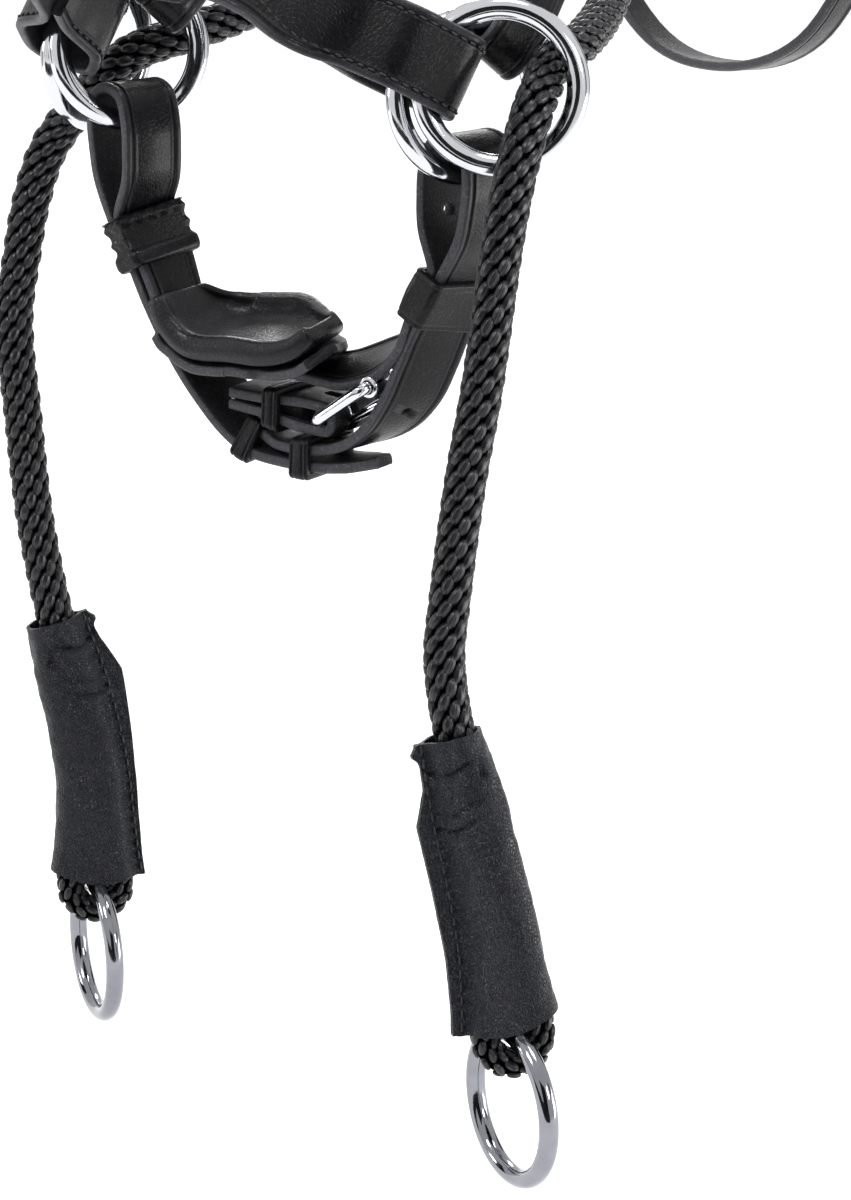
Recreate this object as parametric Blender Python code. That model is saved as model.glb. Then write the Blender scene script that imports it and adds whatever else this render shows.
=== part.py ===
"""A cross-under bitless bridle: leather straps, chrome rings and two ropes, as separate solids.

All sizes and places below are in millimetres. MM turns them into metres where a mesh is made.
+Z is up, -Y is forward and +X is the horse's left. The origin is under the crown, at the poll.
The lower half is laid out from the mouth point, which lies between the two noseband rings.
"""
import math

import bmesh
import bpy
from mathutils import Vector

MM = 0.001
GAP = 0.3

# Overall places
MOUTH = Vector((0, -270, -315))

# Rings: outer diameter and wire diameter
RING_OUTER = 50.0
RING_WIRE = 6.5
REIN_RING_OUTER = 48.5
REIN_RING_WIRE = 5.7

# Straps
LEATHER = 3.3
CHIN_WIDTH = 20.0
CHEEK_WIDTH = 16.0
THROAT_WIDTH = 16.0
NOSE_END_WIDTH = 24.0
NOSE_WIDTH = 32.0
BROW_WIDTH = 24.0
CROWN_WIDTH = 40.0
KEEPER_WALL = 2.2
KEEPER_LENGTH = 9.0
KEEPER_TRAVEL = 8.0
HOLE = 4.4

# Pads
PAD_THICKNESS = 8.0
CHIN_PAD_WIDTH = 42.0
CROWN_PAD_WIDTH = 54.0
NOSE_PAD_WIDTH = 38.0

# Ropes and their leather sleeves
ROPE = 12.0
ROPE_EYE = 9.0
SLEEVE_WALL = 1.0
SLEEVE_LENGTH = 85.0
SEAM_WIDTH = 3.4
SEAM_THICKNESS = 2.8

# Buckles
BUCKLE_WIRE = 3.6
BUCKLE_LENGTH = 21.0
TONGUE_WIRE = 2.4
ROLLER = 6.6

LEATHER_BLACK = ((0.012, 0.012, 0.015), 0.5, 0.0)
SOFT_BLACK = ((0.02, 0.02, 0.026), 0.65, 0.0)
ROPE_BLACK = ((0.01, 0.01, 0.012), 0.7, 0.0)
CHROME = ((0.8, 0.8, 0.82), 0.08, 1.0)


def clear_scene():
    for old in list(bpy.data.objects):
        bpy.data.objects.remove(old, do_unlink=True)


def mouth(x, y, z):
    return MOUTH + Vector((x, y, z))


def material(name, look):
    made = bpy.data.materials.new(name)
    made.use_nodes = True
    shader = made.node_tree.nodes["Principled BSDF"]
    shader.inputs["Base Color"].default_value = (*look[0], 1.0)
    shader.inputs["Roughness"].default_value = look[1]
    shader.inputs["Metallic"].default_value = look[2]
    return made


def add_mesh(name, corners, faces, look, origin=None):
    """Make one object from corners in millimetres, with its origin on a joint axis if given."""
    origin = origin or Vector((0, 0, 0))
    data = bpy.data.meshes.new(name)
    data.from_pydata([(corner - origin) * MM for corner in corners], [], faces)
    work = bmesh.new()
    work.from_mesh(data)
    bmesh.ops.recalc_face_normals(work, faces=work.faces)
    work.to_mesh(data)
    work.free()
    data.shade_smooth()
    data.set_sharp_from_angle(angle=math.radians(35))
    made = bpy.data.objects.new(name, data)
    made.location = origin * MM
    made.data.materials.append(material(name, look))
    bpy.context.collection.objects.link(made)
    return made


def smooth(points, steps):
    """Read points from a smooth curve through the given ones."""
    padded = [points[0] * 2 - points[1], *points, points[-1] * 2 - points[-2]]
    out = []
    for k in range(len(points) - 1):
        a, b, c, d = padded[k:k + 4]
        for step in range(steps):
            t = step / steps
            out.append(0.5 * (2 * b + (c - a) * t + (2 * a - 5 * b + 4 * c - d) * t * t
                              + (3 * b - a - 3 * c + d) * t ** 3))
    out.append(points[-1].copy())
    return out


def tangents(points):
    last = len(points) - 1
    return [(points[min(k + 1, last)] - points[max(k - 1, 0)]).normalized() for k in range(last + 1)]


def loft(name, sections, look, closed=False, origin=None):
    """Skin equal rings of corners; open lofts get a flat cap at each end."""
    count = len(sections[0])
    corners = [corner for section in sections for corner in section]
    faces = []
    spans = len(sections) if closed else len(sections) - 1
    for k in range(spans):
        here = k * count
        there = (k + 1) % len(sections) * count
        for j in range(count):
            after = (j + 1) % count
            faces.append((here + j, here + after, there + after, there + j))
    if not closed:
        faces.append(tuple(range(count)))
        faces.append(tuple(len(corners) - count + j for j in range(count)))
    return add_mesh(name, corners, faces, look, origin)


def frames(route, across, steps):
    """Give points along a strap, with the unit vector across it and the one out of its face."""
    points = smooth(route, steps)
    sides = smooth(across, steps) if isinstance(across, list) else [across] * len(points)
    out = []
    for point, along, side in zip(points, tangents(points), sides):
        side = (side - along * side.dot(along)).normalized()
        out.append((point, side, along.cross(side).normalized()))
    return out


SECTIONS = {}


def strap(name, route, across, width, look=LEATHER_BLACK, steps=3, thick=LEATHER):
    """A flat strap with a rectangular section; width is one number or one for each route point."""
    stations = frames(route, across, steps)
    last = len(stations) - 1
    sections = []
    for k, (point, side, out) in enumerate(stations):
        if isinstance(width, list):
            place = k / last * (len(width) - 1)
            low = min(int(place), len(width) - 2)
            wide = width[low] + (width[low + 1] - width[low]) * (place - low)
        else:
            wide = width
        half = side * wide / 2
        rise = out * thick / 2
        sections.append([point - half - rise, point + half - rise, point + half + rise, point - half + rise])
    SECTIONS[name] = sections
    return loft(name, sections, look)


# Half outline of a cushion: share of the half width, share of the thickness out of the face
CUSHION = [(-1, 0.0), (-0.94, 0.3), (-0.72, 0.52), (-0.35, 0.6), (0.35, 0.6), (0.72, 0.52), (0.94, 0.3),
           (1, 0.0), (0.94, -0.22), (0.6, -0.4), (-0.6, -0.4), (-0.94, -0.22)]


def cushion(name, stations, width, thick, lift, look=SOFT_BLACK):
    """A pad along a strap's stations: a crowned section whose ends and sides are drawn in."""
    last = len(stations) - 1
    sections = []
    for k, (point, side, out) in enumerate(stations):
        bow = math.sin(math.pi * k / last)
        swell = 0.45 + 0.55 * bow ** 0.35
        draw = 0.90 + 0.10 * bow ** 0.5
        sections.append([point + out * (lift + thick * swell * b) + side * width / 2 * draw * a
                         for a, b in CUSHION])
    return loft(name, sections, look)


def turned_frame(azimuth, elevation):
    """Axes of an upright ring whose face looks along the given direction: right, up and out."""
    a = math.radians(azimuth)
    e = math.radians(elevation)
    out = Vector((math.sin(a) * math.cos(e), -math.cos(a) * math.cos(e), math.sin(e)))
    right = Vector((math.cos(a), math.sin(a), 0))
    return right, out.cross(right), out


class Ring:
    """A wire ring: its centre, its axes and its wire."""

    def __init__(self, name, centre, azimuth, elevation, outer=RING_OUTER, wire=RING_WIRE):
        self.name = name
        self.centre = centre
        self.right, self.up, self.out = turned_frame(azimuth, elevation)
        self.radius = (outer - wire) / 2
        self.wire = wire

    def at(self, degrees):
        a = math.radians(degrees)
        return self.centre + (self.right * math.cos(a) + self.up * math.sin(a)) * self.radius

    def tangent(self, degrees):
        a = math.radians(degrees)
        return self.up * math.cos(a) - self.right * math.sin(a)

    def build(self, around=36, sides=8, origin=None):
        sections = []
        for k in range(around):
            a = 2 * math.pi * k / around
            radial = self.right * math.cos(a) + self.up * math.sin(a)
            middle = self.centre + radial * self.radius
            sections.append([middle + (radial * math.cos(b) + self.out * math.sin(b)) * self.wire / 2
                             for b in (2 * math.pi * j / sides for j in range(sides))])
        return loft(self.name, sections, CHROME, closed=True, origin=origin or self.centre)


def tube(name, route, diameter, look, steps=1, closed=False, origin=None, radii=None):
    """A round bar or rope: a curve with a round bevel and filled caps."""
    origin = origin or Vector((0, 0, 0))
    points = smooth(route, steps) if steps > 1 else route
    data = bpy.data.curves.new(name, "CURVE")
    data.dimensions = "3D"
    data.bevel_depth = diameter / 2 * MM
    data.bevel_resolution = 2
    data.use_fill_caps = True
    spline = data.splines.new("POLY")
    spline.points.add(len(points) - 1)
    for k, (target, point) in enumerate(zip(spline.points, points)):
        target.co = (*((point - origin) * MM), 1)
        if radii:
            target.radius = radii[k]
    spline.use_cyclic_u = closed
    made = bpy.data.objects.new(name, data)
    made.location = origin * MM
    data.materials.append(material(name, look))
    bpy.context.collection.objects.link(made)
    return made


def boxed(name, centre, along, across, size, look, origin=None):
    """A plain box: size along, across and out of the strap."""
    out = along.cross(across)
    half = [axis * length / 2 for axis, length in zip((along, across, out), size)]
    ends = []
    for end in (-1, 1):
        ends.append([centre + half[0] * end + half[1] * a + half[2] * b
                     for a, b in ((-1, -1), (1, -1), (1, 1), (-1, 1))])
    return loft(name, ends, look, origin=origin)


def cut(target, cutter):
    """Take the cutter's shape out of the target, and keep the cutter as a hidden guide."""
    cutter.hide_render = True
    cutter.display_type = "WIRE"
    modifier = target.modifiers.new("cut_" + cutter.name, "BOOLEAN")
    modifier.operation = "DIFFERENCE"
    modifier.object = cutter


def keeper(name, holds, centre, along, across, length=KEEPER_LENGTH, wall=KEEPER_WALL, travel=0.0, slices=2):
    """A leather loop whose hole clears the straps that run through it, here and as far as it slides back.

    With more than two slices the loop follows straps that curve or spread inside it.
    """
    across = (across - along * across.dot(along)).normalized()
    out = along.cross(across)
    held_spots = []
    for held in holds:
        sections = SECTIONS[held]
        for k in range(len(sections) - 1):
            for start, end in zip(sections[k], sections[k + 1]):
                for step in range(11):
                    place = start.lerp(end, step / 10) - centre
                    if place.length < 30 and abs(place.dot(out)) < 16:
                        held_spots.append((place.dot(along), place.dot(across), place.dot(out)))
    pitch = length / (slices - 1)
    inner, outer = [], []
    for k in range(slices):
        middle = -length / 2 + pitch * k
        low, high = middle - pitch - 0.5, middle + pitch + 0.5
        if slices == 2:
            low, high = -length / 2 - 0.5 - travel, length / 2 + 0.5
        near = [spot for spot in held_spots if low <= spot[0] <= high]
        wide = [min(s[1] for s in near) - GAP, max(s[1] for s in near) + GAP]
        tall = [min(s[2] for s in near) - GAP, max(s[2] for s in near) + GAP]
        for grow, rows in ((0, inner), (wall, outer)):
            rows.append([centre + along * middle + across * (wide[a] + grow * (2 * a - 1))
                         + out * (tall[b] + grow * (2 * b - 1)) for a, b in ((0, 0), (1, 0), (1, 1), (0, 1))])
    loft(name, outer + list(reversed(inner)), LEATHER_BLACK, closed=True, origin=centre)
    return out, tall[0] - wall, tall[1] + wall


def fold(centre, along, outward, gap, reach, close, end=None, hug=0.75):
    """Route of a strap that comes in, turns round a bar and goes back: outer layer first."""
    end = end or gap
    waist = close * hug + gap * (1 - hug)
    half = [(reach, close), (reach * 0.62, waist), (reach * 0.28, gap * 0.98), (0, gap),
            (-end * 0.74, gap * 0.76)]
    there = [centre + along * a + outward * b for a, b in half]
    back = [centre + along * a - outward * b for a, b in reversed(half)]
    return there + [centre - along * end] + back


def ring_fold(wires, axis, along, width, reach, close, hug=0.75, slack=0.0):
    """Fold of a strap round the wires of one or two rings, sized from where the wires run in it."""
    axis = axis.normalized()
    along = (along - axis * along.dot(axis)).normalized()
    outward = along.cross(axis)
    centre = sum((item.at(angle) for item, angle in wires), Vector()) / len(wires)
    across, closing = [], []
    for item, angle in wires:
        for step in range(-80, 81, 2):
            place = item.at(angle + step) - centre
            if abs(place.dot(axis)) <= width / 2 + item.wire / 2:
                across.append(place.dot(outward))
                closing.append(-place.dot(along))
    room = RING_WIRE / 2 + GAP + LEATHER / 2
    middle = centre + outward * (min(across) + max(across)) / 2
    gap = (max(across) - min(across)) / 2 + room + slack
    return fold(middle, along, outward, gap, reach, close, max(closing) + room + 0.4, hug), axis


# The four rings on the cheeks
RINGS = {
    "noseband_ring_left": Ring("noseband_ring_left", mouth(56.3, 5.0, -2.5), 63, 9.5),
    "rope_ring_left": Ring("rope_ring_left", mouth(73.1, -2.6, 3.1), 37, 9.5),
    "noseband_ring_right": Ring("noseband_ring_right", mouth(-65.2, 3.9, 0.0), 57, 9.5),
    "rope_ring_right": Ring("rope_ring_right", mouth(-83.5, 11, -3.2), 90, 0),
}
INWARD = {"left": -1, "right": 1}
# Where the straps hold each ring, in degrees round the ring
NOSE_HOLD = {"left": (160, 145), "right": (150, 140)}
CHEEK_HOLD = {"left": 48, "right": 46}
PLY = (LEATHER + GAP) / 2


def roller(name, centre, axis, length):
    """A tube that turns on a buckle's toe bar."""
    side = axis.orthogonal().normalized()
    other = axis.cross(side)
    inner = BUCKLE_WIRE / 2 + GAP
    sections = []
    for end, radius in ((-1, inner), (-1, ROLLER / 2), (1, ROLLER / 2), (1, inner)):
        sections.append([centre + axis * length / 2 * end + (side * math.cos(a) + other * math.sin(a)) * radius
                         for a in (2 * math.pi * j / 16 for j in range(16))])
    return loft(name, sections, CHROME, closed=True, origin=centre)


def buckle(prefix, heel, along, across, wide, rolls=False):
    """A wire buckle frame and its tongue; heel is the middle of the bar that carries the strap."""
    out = along.cross(across)
    half = wide / 2 + GAP * 2 + BUCKLE_WIRE / 2
    corner = 2.5
    rectangle = []
    for a, b, turn in ((BUCKLE_LENGTH, 1, 0), (0, 1, 90), (0, -1, 180), (BUCKLE_LENGTH, -1, 270)):
        inward = 1 if a == 0 else -1
        middle = heel + along * (a + inward * corner) + across * b * (half - corner)
        for step in range(3):
            angle = math.radians(turn + 45 * step)
            rectangle.append(middle + along * corner * math.cos(angle) + across * corner * math.sin(angle))
    tube(prefix + "_buckle", rectangle, BUCKLE_WIRE, CHROME, closed=True)
    bend = (BUCKLE_WIRE + TONGUE_WIRE) / 2 + GAP
    pin = []
    for angle in range(-30, -271, -30):
        a = math.radians(angle)
        pin.append(heel + along * bend * math.cos(a) + out * bend * math.sin(a))
    rest = ((ROLLER if rolls else BUCKLE_WIRE) + TONGUE_WIRE) / 2 + GAP
    if rolls:
        roller(prefix + "_buckle_roller", heel + along * BUCKLE_LENGTH, across, wide - 1)
    pin.append(heel + along * BUCKLE_LENGTH * 0.5 + out * (bend + rest) / 2)
    pin.append(heel + along * (BUCKLE_LENGTH + 1.5) + out * rest)
    sections = []
    for point, side, rise in frames(pin, across, 1):
        sections.append([point + (side * math.cos(t) + rise * math.sin(t)) * TONGUE_WIRE / 2
                         for t in (2 * math.pi * (j + 0.5) / 8 for j in range(8))])
    return loft(prefix + "_buckle_tongue", sections, CHROME, origin=heel)


NOSE_TOP = [(24, -50, 39), (6, -64, 47), (-14, -68, 49), (-34, -60, 44), (-50, -46, 35)]
FACE_UP = Vector((0, 0.66, 0.75))


def noseband():
    folds = {}
    for side in ("left", "right"):
        inner, outer = RINGS["noseband_ring_" + side], RINGS["rope_ring_" + side]
        wires = list(zip((inner, outer), NOSE_HOLD[side]))
        axis = -sum((item.tangent(angle) for item, angle in wires), Vector())
        along = Vector((0.54 * INWARD[side], -0.72, 0.44))
        folds[side] = ring_fold(wires, axis, along, NOSE_END_WIDTH, 36, PLY, slack=1.2)
        if (folds[side][0][3] - folds[side][0][7]).x * INWARD[side] > 0:
            folds[side] = (list(reversed(folds[side][0])), folds[side][1])
    middle = [mouth(*point) for point in NOSE_TOP]
    left, right = folds["left"][0], folds["right"][0]
    route = list(reversed(left)) + middle + right
    across = [folds["left"][1]] * len(left) + [FACE_UP] * len(middle) + [folds["right"][1]] * len(right)
    across = [side if side.z > 0 else -side for side in across]
    end = [NOSE_END_WIDTH] * (len(left) - 1)
    widths = end + [NOSE_END_WIDTH + 3] + [NOSE_WIDTH] * len(middle) + [NOSE_END_WIDTH + 3] + end
    strap("nosepiece", route, across, widths, steps=3)
    stations = frames(route, across, 3)
    first = 3 * len(left) + 2
    last = 3 * (len(left) + len(middle) - 1) - 1
    lift = LEATHER / 2 + GAP + PAD_THICKNESS * 0.4
    cushion("nosepiece_padding", stations[first:last], NOSE_PAD_WIDTH, PAD_THICKNESS, lift)


CHIN_Y = 3.5
BACK = Vector((0, 1, 0))
DOWN = Vector((0, 0, -1))
# Lower part of the strap on the horse's right: from its outer layer down to the pointed tip
CHIN_STRAP_LOWER = [(-57.0, -64.0), (-50.5, -76.0), (-42.0, -88.0), (-32.0, -99.5), (-22.0, -109.0),
                    (-12.0, -114.6), (0.0, -116.2), (14.0, -115.6), (26.0, -113.4), (35.0, -110.2)]
# Its inner layer, which ends under the pad
CHIN_STRAP_INNER = [(-16.0, -88.6), (-27.0, -89.6), (-39.6, -86.6), (-47.0, -78.4), (-50.6, -68.0)]
# The punched strap: inner layer from under the pad, and outer layer down and across to its tip
CHIN_BILLET_INNER = [(-9.0, -88.2), (2.0, -88.0), (12.0, -87.4), (20.0, -86.0), (29.0, -81.0), (37.5, -74.0), (44.0, -66.0)]
CHIN_BILLET_LOWER = [(52.4, -63.5), (48.6, -72.0), (44.6, -82.0), (39.6, -92.0), (32.0, -101.4),
                     (22.0, -107.9), (10.0, -110.9), (-4.0, -111.3), (-18.0, -107.0)]
CHIN_PAD_ROUTE = [(-39.5, -72.5), (-34.5, -77.6), (-27.0, -80.6), (-14.0, -79.4), (-2.0, -79.0),
                  (7.0, -76.3), (13.5, -70.6)]
CHIN_HEEL = (13.6, -101.0)
CHIN_FOLD_AZIMUTH = {"left": 77, "right": 72}
# Over how many points of its route each strap turns square to the jaw
CHIN_TWIST = {"left": 5, "right": 1}
CHIN_FOLD_REACH = {"left": 34, "right": 36}


def chin_point(x, z):
    return mouth(x, CHIN_Y, z)


def chin_fold(side):
    a = math.radians(CHIN_FOLD_AZIMUTH[side])
    axis = Vector((math.cos(a), math.sin(a), 0))
    along = Vector((0.10 * INWARD[side], 0, -1))
    ring = RINGS["noseband_ring_" + side]
    route, axis = ring_fold([(ring, 270)], axis, along, CHIN_WIDTH, CHIN_FOLD_REACH[side], PLY + 1.0, 0.25, 0.8)
    if (route[3] - route[7]).x * INWARD[side] > 0:
        route.reverse()
    return route, axis


def chin():
    ways = {}
    for name, side, inner, lower in (("chin_strap", "right", CHIN_STRAP_INNER, CHIN_STRAP_LOWER),
                                     ("chin_billet", "left", CHIN_BILLET_INNER, CHIN_BILLET_LOWER)):
        turned, axis = chin_fold(side)
        route = [chin_point(*p) for p in reversed(lower)] + turned + [chin_point(*p) for p in reversed(inner)]
        twist = [axis.lerp(BACK, min(1, k / CHIN_TWIST[side])) for k in range(len(lower) + 1)]
        across = list(reversed(twist[1:])) + [axis] * len(turned) + twist[:len(inner)]
        ways[side] = axis
        widths = [CHIN_WIDTH * 0.4, CHIN_WIDTH * 0.8] + [CHIN_WIDTH] * (len(route) - 2)
        strap(name, route, across, widths, steps=2)
    stations = frames([chin_point(*p) for p in CHIN_PAD_ROUTE], BACK, 4)
    cushion("chin_pad", stations, CHIN_PAD_WIDTH, PAD_THICKNESS, 0)
    under = -(PAD_THICKNESS * 0.4 + GAP + LEATHER / 2)
    backing = [point + out * under for point, _, out in stations[2:-2:2]]
    strap("chin_pad_backing", backing, BACK, CHIN_PAD_WIDTH - 6, steps=1)
    heel = chin_point(*CHIN_HEEL)
    buckle("chin", heel, Vector((0.81, 0, 0.59)).normalized(), -BACK, CHIN_WIDTH, rolls=True)
    bar = BUCKLE_WIRE / 2 + GAP + LEATHER / 2
    chape = fold(heel, Vector((-1, 0, 0.04)).normalized(), Vector((0.04, 0, 1)).normalized(), bar, 34, PLY)
    made = strap("chin_chape", chape, BACK, CHIN_WIDTH - 1, steps=2)
    cut(made, boxed("chin_chape_slot", heel + Vector((3, 0, 0)), Vector((1, 0, 0)), BACK, (16, 4, 14), CHROME))
    keeper("chin_keeper_right", ["chin_strap"], chin_point(-55.5, -56.0), Vector((0.45, 0, -0.89)).normalized(),
           BACK, 16, slices=5)
    keeper("chin_keeper_left", ["chin_billet"], chin_point(52.0, -61.0), Vector((-0.42, 0, -0.91)).normalized(),
           ways["left"], 16, slices=5)
    keeper("chin_keeper_tip", ["chin_billet", "chin_strap"], chin_point(-14.5, -111.5),
           Vector((1, 0, -0.25)).normalized(), BACK, 7, 1.7)
    keeper("chin_keeper_pad", ["chin_chape"], chin_point(-4.0, -100.6), Vector((1, 0, -0.04)).normalized(), BACK, 6)
    keeper("chin_keeper_buckle", ["chin_billet", "chin_strap"], chin_point(7.0, -113.5), Vector((1, 0, 0)), BACK, 7)


CHEEK_UP = Vector((0.044, 0.651, 0.758)).normalized()
CHEEK_ACROSS = Vector((0, -0.76, 0.65)).normalized()
CHEEK_LENGTH = 178.0
# The billet's height above the buckle's heel bar and its distance out of the cheek strap's middle
BILLET_PATH = [(-66, 5.6), (-44, 5.7), (-20, 7.2), (-5, 8.2), (3, 7.0), (9, 3.0), (15, -1.6), (21, -4.0),
               (30, -4.2), (44, -3.4)]


def buckled(prefix, heel, up, out, width):
    """Frame, tongue and chape route of a buckle whose strap hangs down from its heel bar."""
    across = up.cross(out) * -1
    buckle(prefix, heel, up, across, width)
    bar = BUCKLE_WIRE / 2 + GAP + LEATHER / 2
    return fold(heel, -up, out, bar, 34, PLY), across


def mirror(vector):
    return Vector((-vector.x, vector.y, vector.z))


def cheek(side):
    sign = -INWARD[side]
    up = Vector((CHEEK_UP.x * sign, CHEEK_UP.y, CHEEK_UP.z))
    out = up.cross(CHEEK_ACROSS) * sign
    ring = RINGS["noseband_ring_" + side]
    angle = CHEEK_HOLD[side]
    turned, axis = ring_fold([(ring, angle)], ring.tangent(angle), up, CHEEK_WIDTH, 34, PLY)
    if (turned[3] - turned[7]).x * sign < 0:
        turned.reverse()
    if axis.dot(CHEEK_ACROSS) < 0:
        axis = -axis
    heel = ring.at(angle) + up * CHEEK_LENGTH
    chape, across = buckled("cheek_" + side, heel, up, out, CHEEK_WIDTH)
    route = list(reversed(turned)) + chape
    made = strap("cheekpiece_" + side, route, [axis] * len(turned) + [CHEEK_ACROSS] * len(chape), CHEEK_WIDTH, steps=2)
    slot = boxed("cheek_slot_" + side, heel + up * 3, up, across, (16, 4, 14), CHROME)
    cut(made, slot)
    return heel, up, out


CROWN_SIDE = [(75.5, -78, -92), (75.0, -52, -58), (67.0, -29, -27), (46.0, -12, -4), (22, -4, 6.5)]
CROWN_TOP = (0, 0, 9.95)


def headpiece(heels):
    billet = {}
    for side, (heel, up, out) in heels.items():
        billet[side] = [heel + up * a + out * b for a, b in BILLET_PATH]
    left = billet["left"] + [Vector(p) for p in CROWN_SIDE]
    right = billet["right"] + [mirror(Vector(p)) for p in CROWN_SIDE]
    route = left + [Vector(CROWN_TOP)] + list(reversed(right))
    level = [CHEEK_ACROSS] * (len(BILLET_PATH) + 2) + [Vector((0, -0.9, 0.44)), Vector((0, -0.97, 0.25)),
                                                       Vector((0, -0.99, 0.1))]
    across = level + [Vector((0, -1, 0))] + list(reversed(level))
    half = [8, CHEEK_WIDTH] + [CHEEK_WIDTH] * (len(BILLET_PATH) - 1) + [24, 36, CROWN_WIDTH, CROWN_WIDTH]
    made = strap("headpiece", route, across, half + [CROWN_WIDTH] + list(reversed(half)), steps=3)
    for side, (heel, up, out) in heels.items():
        middle = heel + up * 9 + out * 3
        cut(made, boxed("billet_hole_" + side, middle, up, CHEEK_ACROSS, (11, HOLE, 14), CHROME))
        for place in (-12, -30):
            keep = heel + up * place + out * 4
            keeper("cheek_keeper_%s_%s" % ("upper" if place == -12 else "lower", side),
                   ["headpiece", "cheekpiece_" + side], keep, up, CHEEK_ACROSS,
                   travel=0 if place == -12 else KEEPER_TRAVEL)
    stations = frames(route, across, 3)
    middle = len(stations) // 2
    lift = LEATHER / 2 + GAP + PAD_THICKNESS * 0.4
    pad = [(point, -side, -out) for point, side, out in stations[middle - 5:middle + 6]]
    cushion("headpiece_padding", pad, CROWN_PAD_WIDTH, PAD_THICKNESS, lift)
    return {"left": stations, "right": stations[::-1]}


BROW_ROUTE = [(72, -101, -78), (42, -124, -65), (0, -133, -60)]


def browband(stations):
    ends, ways = {}, {}
    for side in ("left", "right"):
        at = 3 * len(BILLET_PATH) + 1
        point, across, _ = stations[side][at]
        along = (stations[side][at + 1][0] - stations[side][at - 1][0]).normalized()
        normal, low, high = keeper("browband_loop_" + side, ["headpiece"], point, along, across, BROW_WIDTH)
        rise = high + GAP * 7 + LEATHER / 2 if normal.x * point.x > 0 else low - GAP * 7 - LEATHER / 2
        ends[side] = [point + normal * rise + across * shift for shift in (-9, 1, 11)]
        ways[side] = [along if along.z > 0 else -along] * 3
    route = ends["right"] + [mirror(Vector(p)) for p in BROW_ROUTE[:2]] + [Vector(BROW_ROUTE[2])]
    route += [Vector(p) for p in reversed(BROW_ROUTE[:2])] + list(reversed(ends["left"]))
    up = Vector((0, 0.5, 0.86))
    strap("browband", route, ways["right"] + [up] * 5 + ways["left"], BROW_WIDTH, steps=3)


THROAT_RIGHT = [(-67, -17, -50), (-73, -18, -78), (-81, -20, -112), (-87, -14, -160), (-88, -8, -220), (-77, -4, -288)]
THROAT_LOW = [(-45, -5, -337), (0, -24, -345), (45, -44, -328), (71, -47, -284)]
THROAT_HEEL = (84, -42, -222)
THROAT_UP = Vector((0.10, 0.10, 0.99)).normalized()
# Room for the crown's curve over the straight strap ends sewn under it
SEWN_SLACK = 1.7
THROAT_ACROSS = Vector((0, -0.995, 0.1)).normalized()
THROAT_LEFT = [(88, -27, -126), (82, -22, -96), (73, -18, -78), (67, -17, -50)]


def sewn_inside(stations, toward, shift, layer=1):
    """Points and width directions of a strap end sewn under the crown, from its end outwards."""
    point, across, normal = stations[37]
    inward = normal if normal.dot(Vector((0, 0, -30)) - point) > 0 else -normal
    point = point + across * shift
    along = toward - point
    along = (along - inward * along.dot(inward)).normalized()
    rise = (LEATHER + GAP) * layer + SEWN_SLACK * (0.4 + layer * 0.6)
    return [point + inward * rise + along * place for place in (-9, 0, 8)], [inward.cross(along)] * 3


def alike(ways, other):
    return [way if way.dot(other) > 0 else -way for way in ways]


def throatlatch(stations):
    out = Vector((1, 0, 0))
    out = (out - THROAT_UP * out.dot(THROAT_UP)).normalized()
    heel = Vector(THROAT_HEEL)
    chape, across = buckled("throat", heel, THROAT_UP, out, THROAT_WIDTH)
    start, ways = sewn_inside(stations["right"], Vector(THROAT_RIGHT[0]), -8)
    free = [Vector(p) for p in THROAT_RIGHT + THROAT_LOW]
    sides = alike(ways, THROAT_ACROSS) + [THROAT_ACROSS] * (len(free) + len(chape))
    made = strap("throatlatch", start + free + list(reversed(chape)), sides, THROAT_WIDTH, steps=3)
    cut(made, boxed("throat_slot", heel + THROAT_UP * 3, THROAT_UP, across, (16, 4, 14), CHROME))
    tip = [heel + THROAT_UP * a + out * b for a, b in BILLET_PATH]
    top, ways = sewn_inside(stations["left"], Vector(THROAT_LEFT[-1]), -8)
    route = tip + [Vector(p) for p in THROAT_LEFT] + list(reversed(top))
    sides = [THROAT_ACROSS] * (len(route) - len(top)) + alike(ways, THROAT_ACROSS)
    made = strap("throat_billet", route, sides, [7] + [THROAT_WIDTH] * (len(route) - 1), steps=3)
    middle = heel + THROAT_UP * 9 + out * 3
    cut(made, boxed("throat_billet_hole", middle, THROAT_UP, THROAT_ACROSS, (11, HOLE, 14), CHROME))
    for place in (-12, -30):
        keep = heel + THROAT_UP * place + out * 4
        keeper("throat_keeper_" + ("upper" if place == -12 else "lower"), ["throat_billet", "throatlatch"],
               keep, THROAT_UP, THROAT_ACROSS, travel=0 if place == -12 else KEEPER_TRAVEL)


# Each rope from its sewn end on the far cheek, under the jaw, through its ring and down to its sleeve
ROPE_ROUTES = {
    "left": [(-62, 226, 243), (-64, 218, 215), (-67, 204, 180), (-64, 184, 134), (-38, 164, 88), (0, 148, 66),
             (40, 115, 40), (61.6, 71.9, 18.4), (75.6, 33.9, 11), (77.3, 18.1, 8.3), (81.3, 6, 2.8),
             (84.1, -3.3, -3.3), (85.5, -13.2, -19.3), (85.1, -19.2, -40.5), (84.3, -26, -75.9),
             (82.7, -31.7, -103.4), (82.1, -37.7, -135.8), (82.2, -40, -153.2)],
    "right": [(62, 226, 243), (64, 218, 215), (67, 204, 180), (62, 182, 128), (38, 164, 76), (2, 146, 46),
              (-36, 112, 26), (-59.1, 70.3, 8.8), (-60.8, 51.7, 4.8), (-65.4, 34.8, 1.1), (-76, 20.6, -4.1),
              (-85.7, 15.2, -13.2), (-97.2, 14.1, -25.3), (-103.6, 9.3, -37.5), (-107.3, 5.7, -53.7),
              (-108.6, 2.6, -69.7), (-109.5, -0.2, -85.8), (-108.2, -1.3, -101.9), (-106.9, -0.7, -115.8),
              (-104.2, -0.4, -142.2), (-101.5, 0.0, -160.0)],
}
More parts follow.
